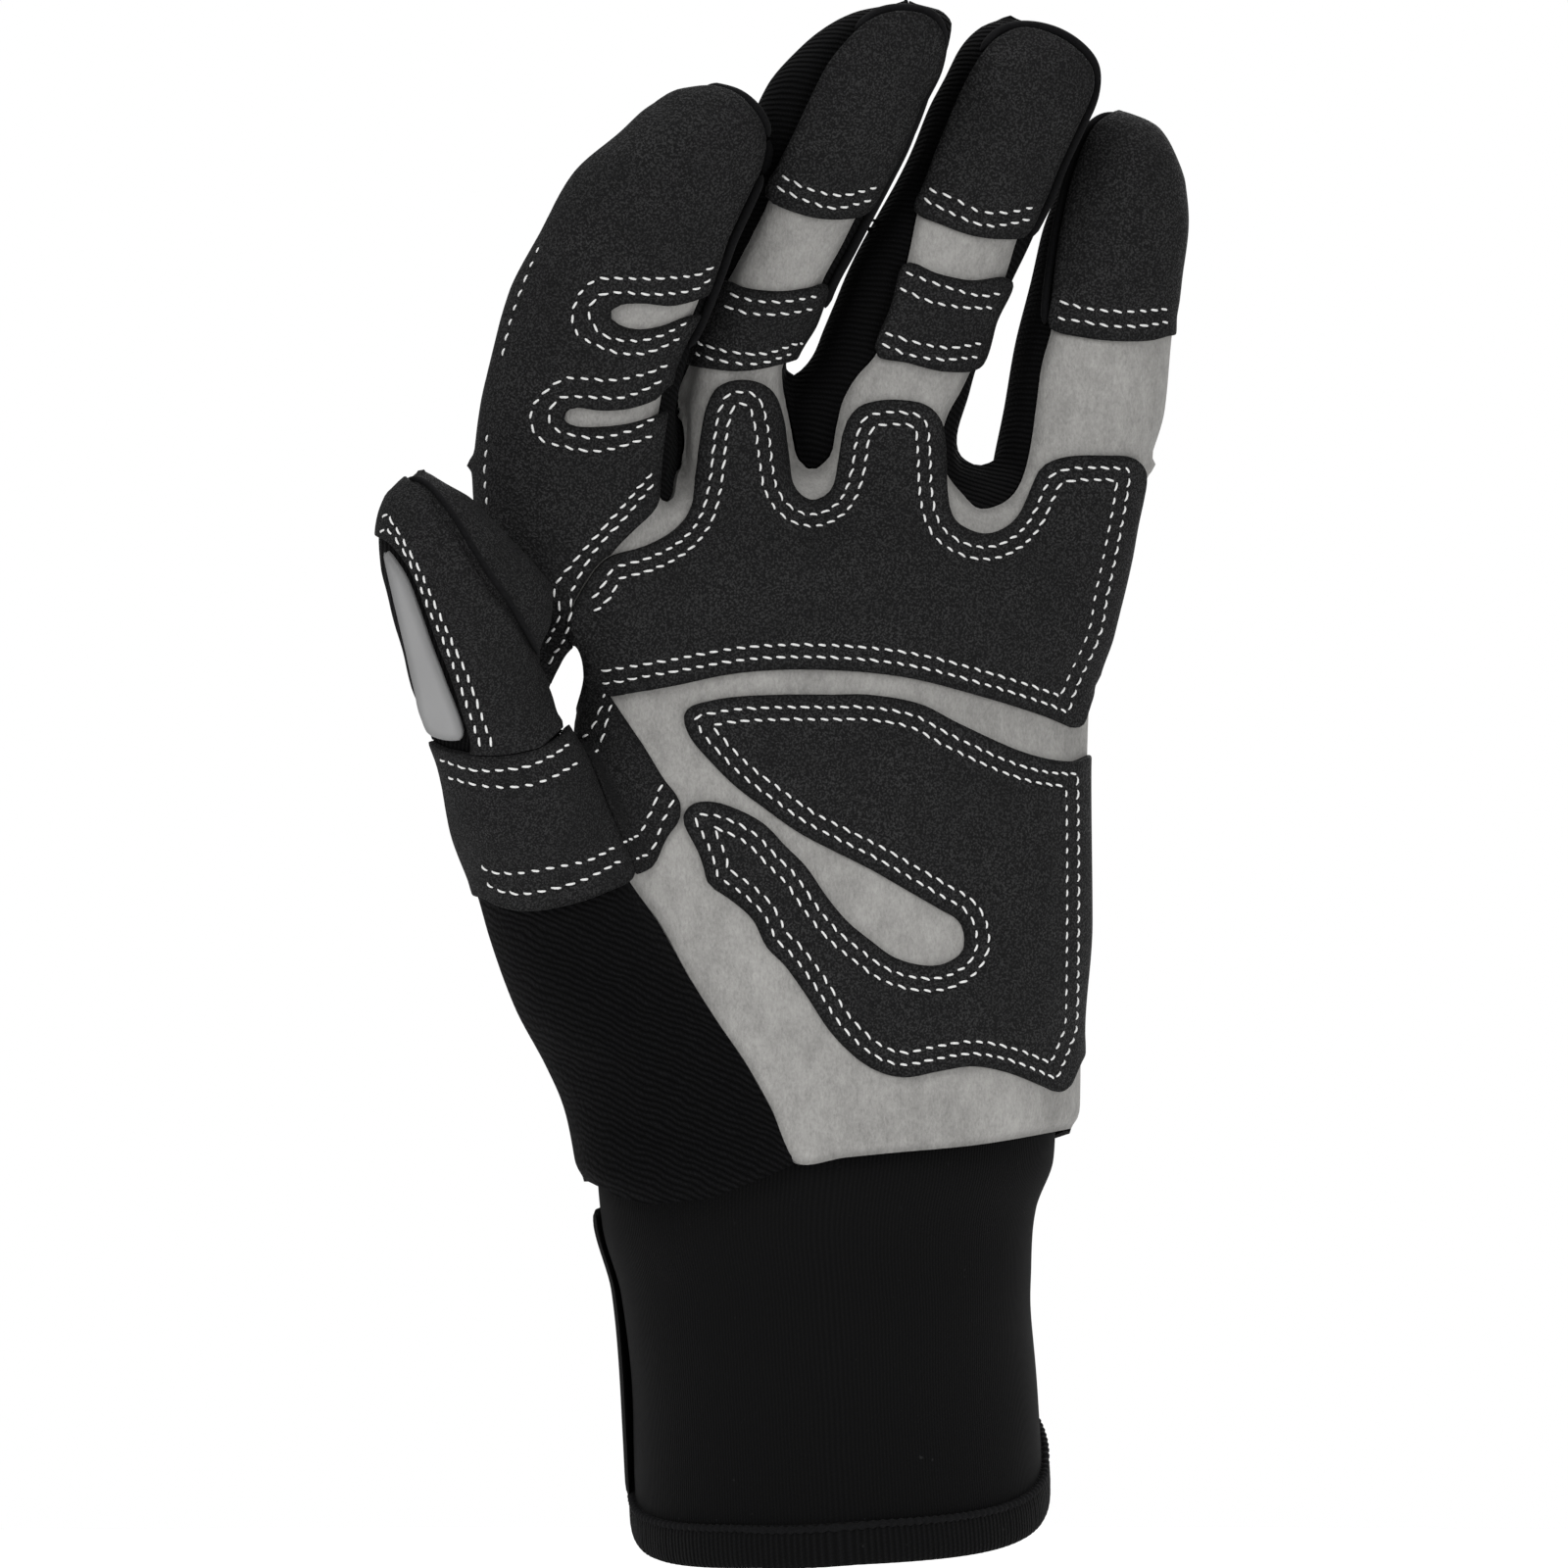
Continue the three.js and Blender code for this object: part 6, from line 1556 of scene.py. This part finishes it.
class GLOVE_OT_stage(bpy.types.Operator):
    """Pale floor, soft studio light and the camera in front of the palm"""

    bl_idname = "glove.stage"
    bl_label = "Stage"

    def execute(self, context):
        scene = context.scene
        rings = np.linspace(0.002, FLOOR_RADIUS, 12)
        a = np.arange(96) * 2 * math.pi / 96
        grid = np.stack([rings[:, None] * np.cos(a), rings[:, None] * np.sin(a),
                         np.full((12, 96), FLOOR_HEIGHT)], axis=-1)
        mesh = bpy.data.meshes.new("floor")
        faces = grid_faces(12, 96, wrap_columns=True)[:, ::-1]
        mesh.from_pydata(grid.reshape(-1, 3).tolist(), [], faces.tolist() + [list(range(96))])
        floor = bpy.data.objects.new("floor", mesh)
        scene.collection.objects.link(floor)
        look = bpy.data.materials.new("Pale Floor")
        look.use_nodes = True
        shader = look.node_tree.nodes["Principled BSDF"]
        shader.inputs["Base Color"].default_value = (0.88, 0.88, 0.88, 1)
        shader.inputs["Roughness"].default_value = 0.95
        shader.inputs["Specular IOR Level"].default_value = 0.05
        shader.inputs["Emission Color"].default_value = (1, 1, 1, 1)
        shader.inputs["Emission Strength"].default_value = FLOOR_GLOW
        floor.data.materials.append(look)

        world = bpy.data.worlds.new("Studio")
        scene.world = world
        world.use_nodes = True
        tree = world.node_tree
        tree.nodes.clear()
        seen = add(tree, "ShaderNodeLightPath").outputs["Is Camera Ray"]
        light = add(tree, "ShaderNodeBackground", sockets={"Color": (1, 1, 1, 1), "Strength": WORLD_LIGHT})
        white = add(tree, "ShaderNodeBackground", sockets={"Color": (1, 1, 1, 1), "Strength": 1.0})
        mixed = add(tree, "ShaderNodeMixShader", sockets={0: seen, 1: light.outputs[0], 2: white.outputs[0]})
        add(tree, "ShaderNodeOutputWorld", sockets={0: mixed.outputs[0]})

        for name, place, size, power in LAMPS:
            lamp = bpy.data.lights.new(name, "AREA")
            lamp.shape = "DISK"
            lamp.size = size
            lamp.energy = power
            held = bpy.data.objects.new(name, lamp)
            held.location = place
            aim = Vector(LAMP_AIM) - Vector(place)
            held.rotation_mode = "QUATERNION"
            held.rotation_quaternion = aim.to_track_quat("-Z", "Y")
            scene.collection.objects.link(held)

        camera = bpy.data.cameras.new("camera")
        camera.sensor_width = SENSOR_WIDTH
        camera.lens = SENSOR_WIDTH * CAMERA_DISTANCE / (PHOTO_SIDE * PIXEL * 0.001)
        camera.clip_start, camera.clip_end = 0.1, 40
        held = bpy.data.objects.new("camera", camera)
        middle = PHOTO_SIDE / 2
        held.location = (float(across(middle)) * 0.001, CAMERA_DEPTH - CAMERA_DISTANCE,
                         float(upward(middle)) * 0.001)
        held.rotation_euler = (math.pi / 2, 0, 0)
        scene.collection.objects.link(held)
        scene.camera = held
        scene.view_settings.view_transform = "Standard"
        return {"FINISHED"}


class GLOVE_PT_panel(bpy.types.Panel):
    """Lists the sizes, the colours and the pieces in the order they are made"""

    bl_idname = "GLOVE_PT_panel"
    bl_label = "Mechanic Glove"
    bl_space_type = "VIEW_3D"
    bl_region_type = "UI"
    bl_category = "Glove"

    def draw(self, context):
        for group_of in (context.scene.glove_sizes, context.scene.glove_colours):
            for key in group_of.bl_rna.properties.keys():
                if key not in ("rna_type", "name"):
                    self.layout.prop(group_of, key)
        for operator in OPERATORS:
            self.layout.operator(operator.bl_idname)


OPERATORS = (GLOVE_OT_palm, GLOVE_OT_strips, GLOVE_OT_back, GLOVE_OT_thumb, GLOVE_OT_bands, GLOVE_OT_pads,
             GLOVE_OT_stitching, GLOVE_OT_edging, GLOVE_OT_cuff, GLOVE_OT_hem, GLOVE_OT_tab, GLOVE_OT_stage)
CLASSES = (GloveSizes, GloveColours, *OPERATORS, GLOVE_PT_panel)


def register():
    for each in CLASSES:
        bpy.utils.register_class(each)
    bpy.types.Scene.glove_sizes = bpy.props.PointerProperty(type=GloveSizes)
    bpy.types.Scene.glove_colours = bpy.props.PointerProperty(type=GloveColours)


def unregister():
    del bpy.types.Scene.glove_colours
    del bpy.types.Scene.glove_sizes
    for each in reversed(CLASSES):
        bpy.utils.unregister_class(each)


def main():
    register()
    bpy.ops.glove.palm()
    bpy.ops.glove.strips()
    bpy.ops.glove.back()
    bpy.ops.glove.thumb()
    bpy.ops.glove.bands()
    bpy.ops.glove.pads()
    bpy.ops.glove.stitching()
    bpy.ops.glove.edging()
    bpy.ops.glove.cuff()
    bpy.ops.glove.hem()
    bpy.ops.glove.tab()
    bpy.ops.glove.stage()


if __name__ == "__main__":
    main()
